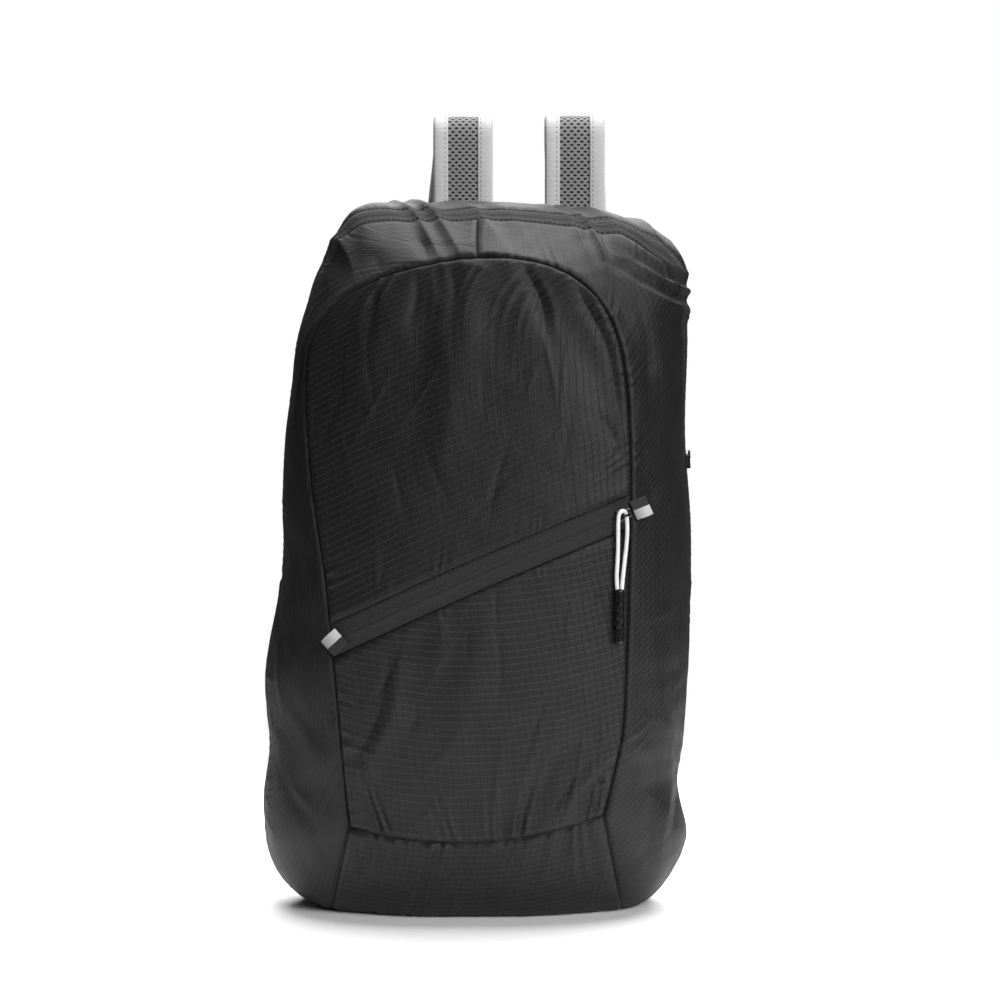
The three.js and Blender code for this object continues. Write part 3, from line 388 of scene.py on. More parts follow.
def front_depth(x, z):
    fall = FRONT_ROUND * np.abs(x / (0.36 * BAG_WIDTH)) ** 2.6
    return depth_at("front", z) + fall - x * twist_at(z)


def back_depth(x, z):
    middle = 0.2 * twist_at(z) * BAG_WIDTH
    fall = BACK_ROUND * np.abs((x - middle) / (0.4 * BAG_WIDTH)) ** 4
    return depth_at("back", z) - fall - x * twist_at(z)


def points_of(x, y, z):
    return np.stack(np.broadcast_arrays(x, y, z), axis=-1)


def on_floor(points):
    """The cloth flattens where it would sink into the floor."""
    z = points[..., 2]
    soft = np.where(z <= -REST_SOFT, 0, (z + REST_SOFT) ** 2 / (4 * REST_SOFT))
    made = points.copy()
    made[..., 2] = np.where(z < REST_SOFT, soft, z)
    return made


def front_seam(station):
    x = BAG_WIDTH * along(BAND, "frontX", station)
    z = BAG_HEIGHT * along(BAND, "frontZ", station)
    return points_of(x, front_depth(x, z), z)


def back_seam(station):
    x = BAG_WIDTH * along(BAND, "backX", station)
    z = BAG_HEIGHT * along(BAND, "backZ", station)
    return points_of(x, back_depth(x, z), z)


def free_band_point(station, across):
    front = front_seam(station)
    back = back_seam(station)
    middle = (front + back) / 2
    out = points_of(
        BAG_WIDTH * along(BAND, "outX", station),
        middle[..., 1] + BAG_DEPTH * along(BAND, "outY", station),
        BAG_HEIGHT * along(BAND, "outZ", station),
    )
    bulge = 1 - np.abs(2 * across - 1) ** along(BAND, "round", station)
    return front + (back - front) * across[..., None] + (out - middle) * bulge[..., None]


def band_point(station, across):
    station, across = np.broadcast_arrays(np.asarray(station, float), np.asarray(across, float))
    return on_floor(free_band_point(station, across))


def outward(points):
    """The direction out of the bag, smooth everywhere, so that two pieces share one mitre at a seam."""
    halves = np.array([BAG_WIDTH, BAG_DEPTH, BAG_HEIGHT]) / 2
    from_middle = points - np.array([0, 0, BAG_HEIGHT / 2])
    slope = np.sign(from_middle) * np.abs(from_middle / halves) ** 2 / halves
    return slope / np.linalg.norm(slope, axis=-1, keepdims=True)


def station_at_height(column, low, high, z):
    for _ in range(40):
        middle = (low + high) / 2
        if BAG_HEIGHT * along(BAND, column, middle) < z:
            low = middle
        else:
            high = middle
    return (low + high) / 2


ZIP_SLOPE = math.atan2((POCKET_ZIP_RIGHT - POCKET_ZIP_LEFT) * BAG_HEIGHT, 2 * 0.345 * BAG_WIDTH)
ZIP_HALF_HEIGHT = ZIP_WIDTH / 2 / math.cos(ZIP_SLOPE)
ZIP_LEFT = POCKET_ZIP_LEFT * BAG_HEIGHT
ZIP_RIGHT = POCKET_ZIP_RIGHT * BAG_HEIGHT
LOW_LEFT = station_at_height("frontZ", 0, LEFT_SHOULDER, ZIP_LEFT - ZIP_HALF_HEIGHT)
UP_LEFT = station_at_height("frontZ", 0, LEFT_SHOULDER, ZIP_LEFT + ZIP_HALF_HEIGHT)
LOW_RIGHT = station_at_height("frontZ", LAST, RIGHT_SHOULDER, ZIP_RIGHT - ZIP_HALF_HEIGHT)
UP_RIGHT = station_at_height("frontZ", LAST, RIGHT_SHOULDER, ZIP_RIGHT + ZIP_HALF_HEIGHT)
LEFT_ZIP_END = station_at_height("outZ", 0, LEFT_SHOULDER, MAIN_ZIP_END * BAG_HEIGHT)
RIGHT_ZIP_END = station_at_height("outZ", LAST, RIGHT_SHOULDER, MAIN_ZIP_END * BAG_HEIGHT)


def patch(bottom, top, left, right):
    """Fills a four-sided patch between its edges, rows from bottom to top."""
    u = np.linspace(0, 1, len(bottom))[None, :, None]
    v = np.linspace(0, 1, len(left))[:, None, None]
    ruled = left[:, None] * (1 - u) + right[:, None] * u
    crossed = bottom[None] * (1 - v) + top[None] * v
    low = bottom[0] * (1 - u) + bottom[-1] * u
    high = top[0] * (1 - u) + top[-1] * u
    return ruled + crossed - (low * (1 - v) + high * v)


def across_front(start, end, bow, count):
    share = np.linspace(0, 1, count)[:, None]
    line = front_seam(start) * (1 - share) + front_seam(end) * share
    line[:, 2] += bow * 4 * share[:, 0] * (1 - share[:, 0])
    line[:, 1] = front_depth(line[:, 0], line[:, 2])
    return line


def on_front(grid):
    return points_of(grid[..., 0], front_depth(grid[..., 0], grid[..., 2]), grid[..., 2])


def zip_edge(station, side):
    """The edge of the long zip, as a share of the way across the band."""
    middle = along(BAND, "zip", station)
    step = band_point(station, middle + 0.05) - band_point(station, middle - 0.05)
    reach = np.linalg.norm(step, axis=-1) / 0.1
    return middle + side * ZIP_WIDTH / 2 / reach


def band_strip(start, end, low, high, rows, columns):
    """A strip of the band between two lines across it. low and high give a share for each station."""
    station = np.linspace(start, end, rows)
    edge = [np.broadcast_to(line(station), station.shape) for line in (low, high)]
    share = np.linspace(0, 1, columns)[None]
    across = edge[0][:, None] * (1 - share) + edge[1][:, None] * share
    return band_point(station[:, None] + 0 * share, across)


# Relief of the cloth


def fold_rise(x, z):
    """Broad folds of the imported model, in metres."""
    rise = 0
    for at, up, degrees, length, width, high in zip(*FOLDS.values()):
        turn = math.radians(degrees)
        dx = x - at * BAG_WIDTH
        dz = z - up * BAG_HEIGHT
        run = (dx * math.cos(turn) + dz * math.sin(turn)) / (0.5 * length * BAG_WIDTH)
        off = (dx * math.sin(turn) - dz * math.cos(turn)) / (0.5 * width * BAG_WIDTH)
        rise = rise + high * BAG_WIDTH * np.exp(-(run**2) - off**2)
    return rise


def crease_rise(x, z):
    """The photographed creases: each is a ridge or valley round a short line, fading at its ends."""
    rise = 0
    starts = photo_place(CREASES["x0"], CREASES["y0"])
    ends = photo_place(CREASES["x1"], CREASES["y1"])
    for x0, z0, x1, z1, half, high in zip(*starts, *ends, CREASES["half"], CREASES["rise"]):
        length = math.hypot(x1 - x0, z1 - z0)
        run = ((x - x0) * (x1 - x0) + (z - z0) * (z1 - z0)) / length**2
        off = ((x - x0) * (z1 - z0) - (z - z0) * (x1 - x0)) / length
        bent = off + 0.06 * length * np.sin(math.pi * run) ** 2
        shape = np.exp(-np.abs(bent / (half * MM)) ** 1.4)
        rise = rise + high * MM * shape * np.exp(-np.abs(2.2 * (run - 0.5)) ** 3)
    return rise


def wave(place, pitch, seed):
    """An uneven row of soft ridges with sharper valleys, from about -1 to 1."""
    rng = np.random.default_rng(seed)
    wander = sum(
        rng.uniform(0.5, 1.1) * np.sin(2 * math.pi * place / (pitch * stretch) + rng.uniform(0, 6.28))
        for stretch in (2.3, 3.7, 6.1)
    )
    tall = 0.6 + 0.4 * np.sin(2 * math.pi * place / (pitch * 4.3) + rng.uniform(0, 6.28))
    return tall * (1 - 2 * np.abs(np.sin(math.pi * place / pitch + 0.8 * wander)))


def crumple(x, z, size, seed):
    """Soft irregular waves over the cloth, from about -1 to 1."""
    rng = np.random.default_rng(seed)
    total = 0
    warp = 0.25 * size * np.sin(2 * math.pi * z / (2.1 * size) + rng.uniform(0, 6.28))
    for _ in range(7):
        turn = rng.uniform(0, math.pi)
        scale = size * rng.uniform(0.6, 1.6)
        phase = rng.uniform(0, 6.28)
        line = (x + warp) * math.cos(turn) + z * math.sin(turn)
        total = total + np.sin(2 * math.pi * line / scale + phase)
    return total / math.sqrt(7)


def cloth_lengths(grid):
    """Lengths over the cloth along its rows and along its columns."""
    across = np.linalg.norm(np.diff(grid, axis=1), axis=2)
    up = np.linalg.norm(np.diff(grid, axis=0), axis=2)
    rows, columns = grid.shape[:2]
    u = np.concatenate([np.zeros((rows, 1)), np.cumsum(across, axis=1)], axis=1)
    v = np.concatenate([np.zeros((1, columns)), np.cumsum(up, axis=0)], axis=0)
    return u, v


def seam_relief(distance, place, pitch, tall, reach, seed):
    """The cloth swells beside a seam and puckers along it, in gathers that fan out from it."""
    swell = SWELL * (distance / SWELL_REACH) * np.exp(1 - distance / SWELL_REACH)
    fan = 0.35 * distance * np.sin(place / (31 * MM) + seed)
    uneven = 0.65 + 0.35 * np.sin(place / (13 * MM) + 2 * seed)
    near = wave(place + fan, pitch, seed) * np.exp(-distance / reach)
    return swell + tall * uneven * near


def small_creases(u, v, count, lean, seed):
    """Short sharp creases strewn over a panel: lean is their usual direction from level, in degrees."""
    rng = np.random.default_rng(seed)
    rise = 0
    for _ in range(count):
        middle_u = rng.uniform(u.min(), u.max())
        middle_v = rng.uniform(v.min(), v.max())
        turn = math.radians(lean + rng.normal(0, 28))
        length = rng.uniform(12, 42) * MM
        half = rng.uniform(1.1, 2.8) * MM
        run = ((u - middle_u) * math.cos(turn) + (v - middle_v) * math.sin(turn)) / length
        off = ((u - middle_u) * math.sin(turn) - (v - middle_v) * math.cos(turn)) / half
        off = off + 0.5 * length / half * (run**2 - 0.2) * rng.uniform(-0.3, 0.3)
        tall = rng.choice([-1, 1]) * rng.uniform(0.25, 0.75) * MM
        rise = rise + tall * np.exp(-(run**2) * 3 - np.abs(off) ** 1.3)
    return rise


def body_relief(points):
    """Gathers along the top and on the right shoulder, which run on from piece to piece."""
    x, y, z = (points[..., k] for k in range(3))
    top = smoothstep(z, 0.87 * BAG_HEIGHT, 0.97 * BAG_HEIGHT)
    behind_straps = np.exp(-(((x - 25 * MM) / (45 * MM)) ** 4))
    gathers = TOP_GATHERS * top * (1 - 0.6 * behind_straps) * wave(x + 0.4 * y, TOP_GATHER_PITCH, 5)
    shoulder = np.exp(-(((x - 118 * MM) / (24 * MM)) ** 2) - ((z - 388 * MM) / (26 * MM)) ** 2)
    lobes = SHOULDER_LOBES * shoulder * wave(z + 0.5 * x, SHOULDER_LOBE_PITCH, 8)
    return gathers + lobes


def relief(grid, seams, crumpled, seed):
    """All relief of a panel. seams: its seams at the left, right, bottom and top."""
    u, v = cloth_lengths(grid)
    x, y, z = (grid[..., k] for k in range(3))
    distances = [u, u[:, -1:] - u, v, v[-1:] - v]
    places = [v, v, u, u]
    to_seam = np.minimum.reduce(distances)
    facing = smoothstep(-y, -0.03, 0.02)
    rise = facing * (0.5 * fold_rise(x, z) + crease_rise(x, z))
    broad = crumple(x + y, z, CRUMPLE_SIZE, seed)
    fine = crumple(x - y, z, FINE_CRUMPLE_SIZE, seed + 1)
    rise = rise + crumpled * (0.7 * broad + 0.3 * fine)
    count = int(u.max() * v.max() / CREASE_SPACING**2)
    rise = rise + small_creases(u, v, count, CREASE_LEAN, seed + 40)
    rise = rise * (1 - np.exp(-to_seam / (6 * MM)))
    tuck = 0
    for k, (distance, place, seam) in enumerate(zip(distances, places, seams)):
        pitch, tall, reach, deep = (value * MM for value in seam)
        rise = rise + seam_relief(distance, place, pitch, tall, reach, seed + 10 + k)
        tuck = np.maximum(tuck, deep * np.exp(-((distance / TUCK_REACH) ** 2)))
    return body_relief(grid) + rise * (1 - np.exp(-((to_seam / (2 * MM)) ** 2))) - tuck, u, v


# Making meshes


def mesh_of(name, points, groups, uv=None, smooth=True):
    """A mesh from groups of faces, each with one number of sides, and each point's place on the cloth."""
    mesh = bpy.data.meshes.new(name)
    groups = [np.asarray(faces, np.int32) for faces in groups]
    corners = np.concatenate([faces.ravel() for faces in groups])
    sides = np.concatenate([np.full(len(faces), faces.shape[1]) for faces in groups])
    mesh.vertices.add(len(points))
    mesh.vertices.foreach_set("co", np.asarray(points, np.float32).ravel())
    mesh.loops.add(len(corners))
    mesh.loops.foreach_set("vertex_index", corners)
    mesh.polygons.add(len(sides))
    mesh.polygons.foreach_set("loop_start", np.concatenate([[0], np.cumsum(sides)[:-1]]).astype(np.int32))
    mesh.update(calc_edges=True)
    mesh.polygons.foreach_set("use_smooth", np.full(len(sides), smooth))
    if uv is not None:
        layer = mesh.uv_layers.new(name="cloth")
        layer.data.foreach_set("uv", np.asarray(uv, np.float32)[corners].ravel())
    mesh.validate()
    return mesh


def add_piece(name, mesh, material, replaced):
    piece = bpy.data.objects.new(name, mesh)
    bpy.context.collection.objects.link(piece)
    piece.data.materials.append(material)
    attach(piece, "root")
    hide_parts(*replaced)
    return piece


def inset_edges(grid, inset=SEAM_GAP / 2):
    """Draws the edges of a grid in from its seams, so that neighbours keep a slot between them."""
    made = grid.copy()

    def pull(edge, inner):
        step = inner - edge
        return edge + inset * step / np.linalg.norm(step, axis=-1, keepdims=True)

    made[0], made[-1] = pull(grid[0], grid[1]), pull(grid[-1], grid[-2])
    made[:, 0], made[:, -1] = pull(made[:, 0], grid[:, 1]), pull(made[:, -1], grid[:, -2])
    return made


def wall_mesh(name, grid, u, v, wall=CLOTH):
    """A closed wall of cloth whose outside is the grid."""
    rows, columns = grid.shape[:2]
    outside = grid.reshape(-1, 3)
    inside = outside - wall * outward(outside)
    at = np.arange(rows * columns).reshape(rows, columns)
    quads = np.stack([at[:-1, :-1], at[:-1, 1:], at[1:, 1:], at[1:, :-1]], axis=-1).reshape(-1, 4)
    rim = np.concatenate([at[0, :-1], at[:-1, -1], at[-1, :0:-1], at[:0:-1, 0]])
    after = np.roll(rim, -1)
    count = rows * columns
    walls = np.stack([after, rim, rim + count, after + count], axis=-1)
    faces = np.concatenate([quads, quads[:, ::-1] + count, walls])
    a, b, c = (outside[quads[len(quads) // 2, k]] for k in range(3))
    if np.dot(np.cross(b - a, c - b), outward(a)) < 0:
        faces = faces[:, ::-1]
    uv = np.stack([u.ravel(), v.ravel()], axis=-1)
    return mesh_of(name, np.concatenate([outside, inside]), [faces], np.concatenate([uv, uv]))


def carried_mesh(name, outline, frames, smooth=True):
    """A closed outline of (across, out) pairs, carried along the frames of a path."""
    place, across, out = frames
    outline = np.array(outline, float)
    points = place[:, None] + outline[None, :, :1] * across[:, None] + outline[None, :, 1:] * out[:, None]
    rows, size = points.shape[:2]
    ring = np.arange(size)
    at = np.arange(rows)[:, None] * size + ring
    turned = np.roll(at, -1, axis=1)
    quads = np.stack([at[:-1], turned[:-1], turned[1:], at[1:]], axis=-1).reshape(-1, 4)
    ends = [at[:1, ::-1], at[-1:]]
    area = np.sum(outline[:, 0] * np.roll(outline[:, 1], -1) - outline[:, 1] * np.roll(outline[:, 0], -1))
    ahead = np.cross(across[0], out[0]) @ (place[1] - place[0])
    if area * ahead < 0:
        quads, ends = quads[:, ::-1], [face[:, ::-1] for face in ends]
    round_it = np.linalg.norm(np.roll(outline, -1, axis=0) - outline, axis=1).cumsum()
    length = np.concatenate([[0], np.linalg.norm(np.diff(place, axis=0), axis=1).cumsum()])
    uv = np.stack(np.broadcast_arrays(round_it[None], length[:, None]), axis=-1).reshape(-1, 2)
    return mesh_of(name, points.reshape(-1, 3), [quads, *ends], uv, smooth)


def rounded_outline(low, high, radius, steps=4):
    """A rectangle from its low to its high corner, with round corners."""
    made = []
    for k, (x, y) in enumerate([(high[0], high[1]), (low[0], high[1]), (low[0], low[1]), (high[0], low[1])]):
        centre = x - math.copysign(radius, x - low[0] - 1e-9), y - math.copysign(radius, y - low[1] - 1e-9)
        for i in range(steps + 1):
            turn = math.pi / 2 * (k + i / steps)
            made.append((centre[0] + radius * math.cos(turn), centre[1] + radius * math.sin(turn)))
    return made


def stitch_mesh(name, places, aheads, outs, length, thick):
    """Separate stitches: spindles of thread that lie along a line and sink in at both ends."""
    sides = 6
    count = len(places)
    aheads = aheads / np.linalg.norm(aheads, axis=-1, keepdims=True)
    across = np.cross(aheads, outs)
    turn = np.arange(sides) * 2 * math.pi / sides
    rings = [(-0.5, 0), (-0.34, 0.8), (0, 1), (0.34, 0.8), (0.5, 0)]
    points = []
    for run, swell in rings:
        centre = places + run * length * aheads - (1 - swell) * 0.5 * thick * outs
        around = np.cos(turn)[:, None, None] * across + np.sin(turn)[:, None, None] * outs
        points.append(centre[None] + 0.5 * thick * max(swell, 0.05) * around)
    points = np.array(points).transpose(2, 0, 1, 3).reshape(-1, 3)
    ring = np.arange(sides)
    near = np.arange(len(rings) - 1)[:, None] * sides
    quad = np.stack([near + ring, near + (ring + 1) % sides], axis=-1)
    quad = np.concatenate([quad, quad[..., ::-1] + sides], axis=-1).reshape(-1, 4)
    caps = np.array([ring[::-1], ring + (len(rings) - 1) * sides])
    start = (np.arange(count) * sides * len(rings))[:, None, None]
    return mesh_of(name, points, [(start + quad).reshape(-1, 4), (start + caps).reshape(-1, sides)])


# Materials


def linear(hex_colour):
    """An sRGB colour written as hex, in linear values."""
    parts = [((hex_colour >> shift) & 255) / 255 for shift in (16, 8, 0)]
    return [p / 12.92 if p <= 0.04045 else ((p + 0.055) / 1.055) ** 2.4 for p in parts] + [1.0]


class Finish:
    """A material and its nodes."""

    def __init__(self, name):
        self.material = bpy.data.materials.new(name)
        self.material.use_nodes = True
        self.tree = self.material.node_tree
        self.shader = self.tree.nodes["Principled BSDF"]

    def connect(self, socket, value):
        if isinstance(value, bpy.types.NodeSocket):
            self.tree.links.new(value, socket)
        else:
            socket.default_value = value

    def add(self, kind, *inputs, named=None, output=0, ramp=None, **settings):
        """Adds a node with its settings, its inputs by place or by name, and the colours of its ramp."""
        node = self.tree.nodes.new("ShaderNode" + kind)
        for key, value in settings.items():
            setattr(node, key, value)
        for key, value in [*enumerate(inputs), *(named or {}).items()]:
            self.connect(node.inputs[key], value)
        for element, (position, colour) in zip(node.color_ramp.elements if ramp else [], ramp or []):
            element.position = position
            element.color = linear(colour)
        return node.outputs[output]

    def done(self, **inputs):
        for key, value in inputs.items():
            self.connect(self.shader.inputs[key.replace("_", " ")], value)
        return self.material


def cloth_place(finish):
    """The place on the cloth in millimetres: as a vector, across and along."""
    uv = finish.add("UVMap", uv_map="cloth")
    place = finish.add("VectorMath", uv, (1000, 1000, 1000), operation="MULTIPLY")
    across = finish.add("SeparateXYZ", place)
    return place, across, across.node.outputs[1]


def threads(finish, place, pitch, width):
    """1 on evenly spaced threads and 0 between them."""
    from_thread = finish.add("Math", place, pitch / 2, operation="PINGPONG")
    return finish.add("MapRange", from_thread, 0.0, width, 1.0, 0.0, interpolation_type="SMOOTHSTEP")


def weighted(finish, *terms):
    """The sum of values, each times its weight."""
    total = 0.0
    for value, weight in terms:
        total = finish.add("Math", value, weight, total, operation="MULTIPLY_ADD")
    return total


def ripstop_nylon():
    # Ripstop nylon, calendered: thin black cloth whose doubled threads stand up as a grid of small squares,
    # with a soft broad gloss from its flattened filaments. Its plain threads are 0.55 mm apart, coarser than
    # real ones, so that they show.
    finish = Finish("ripstop_nylon_calendered")
    place, across, up = cloth_place(finish)
    sway = finish.add("TexNoise", place, named={"Scale": 0.04, "Detail": 2.0})
    drift = finish.add("Math", sway, 3.0, -1.5, operation="MULTIPLY_ADD")
    warp = finish.add("Math", across, drift, operation="ADD")
    weft = finish.add("Math", up, drift, operation="SUBTRACT")
    warp_rib = threads(finish, warp, RIPSTOP_PITCH, RIB_WIDTH)
    weft_rib = threads(finish, weft, RIPSTOP_PITCH, RIB_WIDTH)
    grid = finish.add("Math", warp_rib, weft_rib, operation="MAXIMUM")
    plain_warp = threads(finish, warp, PLAIN_THREAD, 0.26)
    plain_weft = threads(finish, weft, PLAIN_THREAD, 0.26)
    plain = weighted(finish, (plain_warp, 0.5), (plain_weft, 0.5))
    fine = finish.add("TexNoise", place, named={"Scale": 1.1, "Detail": 3.0})
    broad = finish.add("TexNoise", place, named={"Scale": 0.03, "Detail": 4.0})
    tint = weighted(finish, (weft_rib, 0.55), (warp_rib, -0.35), (fine, 0.3), (broad, 0.3), (plain, 0.1))
    colour = finish.add("ValToRGB", tint, ramp=[(0.15, 0x060607), (0.9, 0x2A2A2B)])
    height = weighted(finish, (grid, 0.6), (plain, 0.25), (fine, 0.4))
    bump = finish.add("Bump", named={"Height": height, "Strength": 0.55, "Distance": 0.0003})
    gloss = finish.add("MapRange", fine, 0.25, 0.75, 0.48, 0.6)
    return finish.done(
        Base_Color=colour,
        Roughness=gloss,
        Normal=bump,
        IOR=1.53,
        Specular_IOR_Level=0.3,
    )


def twill_tape():
    # Zip tape, woven as a fine twill of black polyester: matt, with slanting ribs. Its colour is painted
    # lighter in rows of small spots where the ribs cross the picks, and a little lighter on the ribs: painted
    # highlights for the light the ribs catch. The ribs are 1.1 mm apart, coarser than real ones, so that they
    # show.
    finish = Finish("polyester_tape_twill_woven")
    place, across, up = cloth_place(finish)
    slant = weighted(finish, (across, 1.0), (up, 0.7))
    ribs = threads(finish, slant, 1.1, 0.5)
    picks = threads(finish, up, 0.8, 0.36)
    rib_glint_spots = finish.add("Math", ribs, picks, operation="MULTIPLY")
    fine = finish.add("TexNoise", place, named={"Scale": 1.6, "Detail": 2.0})
    # Painted highlights: the colour is lighter on the rib glint spots and on the ribs; the spots also stand
    # up in the bump.
    tint = weighted(finish, (rib_glint_spots, 0.55), (ribs, 0.15), (fine, 0.4))
    colour = finish.add("ValToRGB", tint, ramp=[(0.15, 0x0A0A0B), (0.9, 0x3A3A3B)])
    height = weighted(finish, (ribs, 0.6), (rib_glint_spots, 0.6))
    bump = finish.add("Bump", named={"Height": height, "Strength": 0.7, "Distance": 0.0003})
    return finish.done(Base_Color=colour, Roughness=0.7, Normal=bump, IOR=1.5, Specular_IOR_Level=0.35)


def woven_binding():
    # Binding tape, plain woven of light grey polyester: matt, with fine cross ribs and a little soiling.
    finish = Finish("polyester_binding_plain_woven")
    place, across, up = cloth_place(finish)
    ribs = threads(finish, up, 0.9, 0.4)
    weave = threads(finish, across, 0.9, 0.4)
    fine = finish.add("TexNoise", place, named={"Scale": 0.9, "Detail": 4.0})
    broad = finish.add("TexNoise", place, named={"Scale": 0.05, "Detail": 2.0})
    tint = weighted(finish, (ribs, 0.2), (fine, 0.5), (broad, 0.3))
    colour = finish.add("ValToRGB", tint, ramp=[(0.15, 0xB6B6B6), (0.85, 0xE4E4E4)])
    height = weighted(finish, (ribs, 0.6), (weave, 0.4))
    bump = finish.add("Bump", named={"Height": height, "Strength": 0.6, "Distance": 0.0003})
    return finish.done(Base_Color=colour, Roughness=0.8, Normal=bump, IOR=1.5, Sheen_Weight=0.1)


def spacer_mesh():
    # Spacer mesh, warp knitted of grey polyester: staggered rows of open holes, painted dark in its colour
    # for the darker core under them and the shade that falls in them.
    finish = Finish("polyester_spacer_knitted")
    place, across, up = cloth_place(finish)
    row = finish.add("Math", finish.add("Math", up, HOLE_ROW, operation="DIVIDE"), operation="FLOOR")
    odd = finish.add("Math", row, 1.0, operation="PINGPONG")
    shifted = finish.add("Math", odd, HOLE_PITCH / 2, across, operation="MULTIPLY_ADD")
    in_row = finish.add("Math", shifted, HOLE_PITCH, operation="FLOORED_MODULO")
    in_step = finish.add("Math", up, HOLE_ROW, operation="FLOORED_MODULO")
    spot = finish.add("CombineXYZ", in_row, in_step)
    centred = finish.add("VectorMath", spot, (HOLE_PITCH / 2, HOLE_ROW / 2, 0), operation="SUBTRACT")
    squashed = finish.add("VectorMath", centred, (0.62, 1.0, 0), operation="MULTIPLY")
    far = finish.add("VectorMath", squashed, operation="LENGTH", output=1)
    hole = finish.add("MapRange", far, 0.5, 0.85, 1.0, 0.0, interpolation_type="SMOOTHSTEP")
    fine = finish.add("TexNoise", place, named={"Scale": 1.8, "Detail": 3.0})
    knit = threads(finish, across, 0.8, 0.4)
    tint = weighted(finish, (fine, 0.6), (knit, 0.3))
    yarn = finish.add("ValToRGB", tint, ramp=[(0.1, 0x626263), (0.9, 0xB4B4B5)])
    # Painted shade: the holes are darkened in the colour, for the core under them and the shade in them.
    shade = finish.add("ValToRGB", hole, ramp=[(0.0, 0xFFFFFF), (1.0, 0x2C2C2D)])
    mixed = {6: yarn, 7: shade}
    colour = finish.add("Mix", 1.0, output=2, data_type="RGBA", blend_type="MULTIPLY", named=mixed)
    height = weighted(finish, (hole, -1.0), (knit, 0.15))
    bump = finish.add("Bump", named={"Height": height, "Strength": 0.8, "Distance": 0.0008})
    return finish.done(Base_Color=colour, Roughness=0.85, Normal=bump, IOR=1.5)


def grosgrain_ribbon():
    # End tab of black grosgrain ribbon: cross ribs, half of it under a smooth light grey reflective film
    # that is brighter towards one end.
    finish = Finish("grosgrain_ribbon_with_reflective_film")
    place, across, up = cloth_place(finish)
    film = finish.add("MapRange", across, 5.7, 5.9, 0.0, 1.0)
    ribs = threads(finish, up, 0.8, 0.36)
    fine = finish.add("TexNoise", place, named={"Scale": 0.6, "Detail": 3.0})
    # The film's grey is made lighter towards one end of the tab.
    lighter_towards_end = finish.add("MapRange", up, 0.0, 10.0, 0.0, 0.7)
    ribbed = weighted(finish, (ribs, 0.5), (fine, 0.4))
    black = finish.add("ValToRGB", ribbed, ramp=[(0.1, 0x0B0B0C), (0.9, 0x2A2A2B)])
    shiny = weighted(finish, (lighter_towards_end, 1.0), (fine, 0.3))
    grey = finish.add("ValToRGB", shiny, ramp=[(0.1, 0x707070), (0.9, 0xBEBEBE)])
    colour = finish.add("Mix", film, output=2, data_type="RGBA", named={6: black, 7: grey})
    gloss = finish.add("MapRange", film, 0.0, 1.0, 0.75, 0.42)
    height = weighted(finish, (ribs, 0.5), (film, 0.3))
    bump = finish.add("Bump", named={"Height": height, "Strength": 0.5, "Distance": 0.0003})
    return finish.done(Base_Color=colour, Roughness=gloss, Normal=bump, IOR=1.5)


def grained(name, dark, light, roughness, size, depth, **inputs):
    """A finish with a fine even grain: its colours, roughness, and size and depth in millimetres."""
    finish = Finish(name)
    place = finish.add("TexCoord", output=3)
    grain = finish.add("TexNoise", place, named={"Scale": 1000 / size, "Detail": 4.0})
    colour = finish.add("ValToRGB", grain, ramp=[(0.35, dark), (0.65, light)])
    gloss = finish.add("MapRange", grain, 0.3, 0.7, roughness - 0.05, roughness + 0.05)
    bump = finish.add("Bump", named={"Height": grain, "Strength": 0.5, "Distance": depth / 1000})
    return finish.done(Base_Color=colour, Roughness=gloss, Normal=bump, **inputs)


RIPSTOP = ripstop_nylon()
TAPE = twill_tape()
BINDING = woven_binding()
SPACER = spacer_mesh()
RIBBON = grosgrain_ribbon()
# Acetal, injection moulded: black and fairly glossy, with a faint spark texture from the mould.
ACETAL = grained("acetal_moulded", 0x09090A, 0x141415, 0.28, 1.2, 0.02, IOR=1.48)
# Zinc, die cast and lacquered black: glossy, with paler specks where the lacquer is thin.
ZINC = grained("zinc_die_cast_lacquered", 0x0E0E0F, 0x2B2B2C, 0.3, 1.5, 0.03, Metallic=0.5)
# Polyester thread, twisted and bonded: a dull black line with a fibre grain.
THREAD = grained("polyester_thread_twisted", 0x050505, 0x161616, 0.6, 0.5, 0.05, IOR=1.5)
# The same thread in grey, on the bindings.
GREY_THREAD = grained("grey_polyester_thread_twisted", 0x6A6A6B, 0x8C8C8D, 0.65, 0.5, 0.05, IOR=1.5)
# Polyester cord, braided: white and matt, with the small knuckles of its braid.
CORD_BRAID = grained("polyester_cord_braided", 0xCFCFCF, 0xF4F4F4, 0.75, 0.8, 0.15, IOR=1.5)
# Polyester webbing, woven: black and matt with a coarse grain.
WEBBING = grained("polyester_webbing_woven", 0x0D0D0E, 0x2C2C2D, 0.78, 0.9, 0.12, IOR=1.5)


# Cloth body


def joined(*runs):
    """One list of stations from runs of (start, end, steps)."""
    parts = [np.linspace(start, end, steps + 1) for start, end, steps in runs]
    return np.concatenate([parts[0], *(part[1:] for part in parts[1:])])


LEFT_LOW = (0, LOW_LEFT)
LEFT_ZIP = (LOW_LEFT, UP_LEFT)
LEFT_UP = (UP_LEFT, LEFT_SHOULDER)
RIGHT_UP = (RIGHT_SHOULDER, UP_RIGHT)
RIGHT_ZIP = (UP_RIGHT, LOW_RIGHT)
RIGHT_LOW = (LOW_RIGHT, LAST)


def add_panel(name, grid, seams, crumpled, seed):
    rise, u, v = relief(grid, seams, crumpled * MM, seed)
    shaped = inset_edges(grid) + rise[..., None] * outward(grid)
    shaped[..., 2] = np.maximum(shaped[..., 2], 0)
    add_piece(name + "_cloth", wall_mesh(name, shaped, u, v), RIPSTOP, [name])
    return shaped


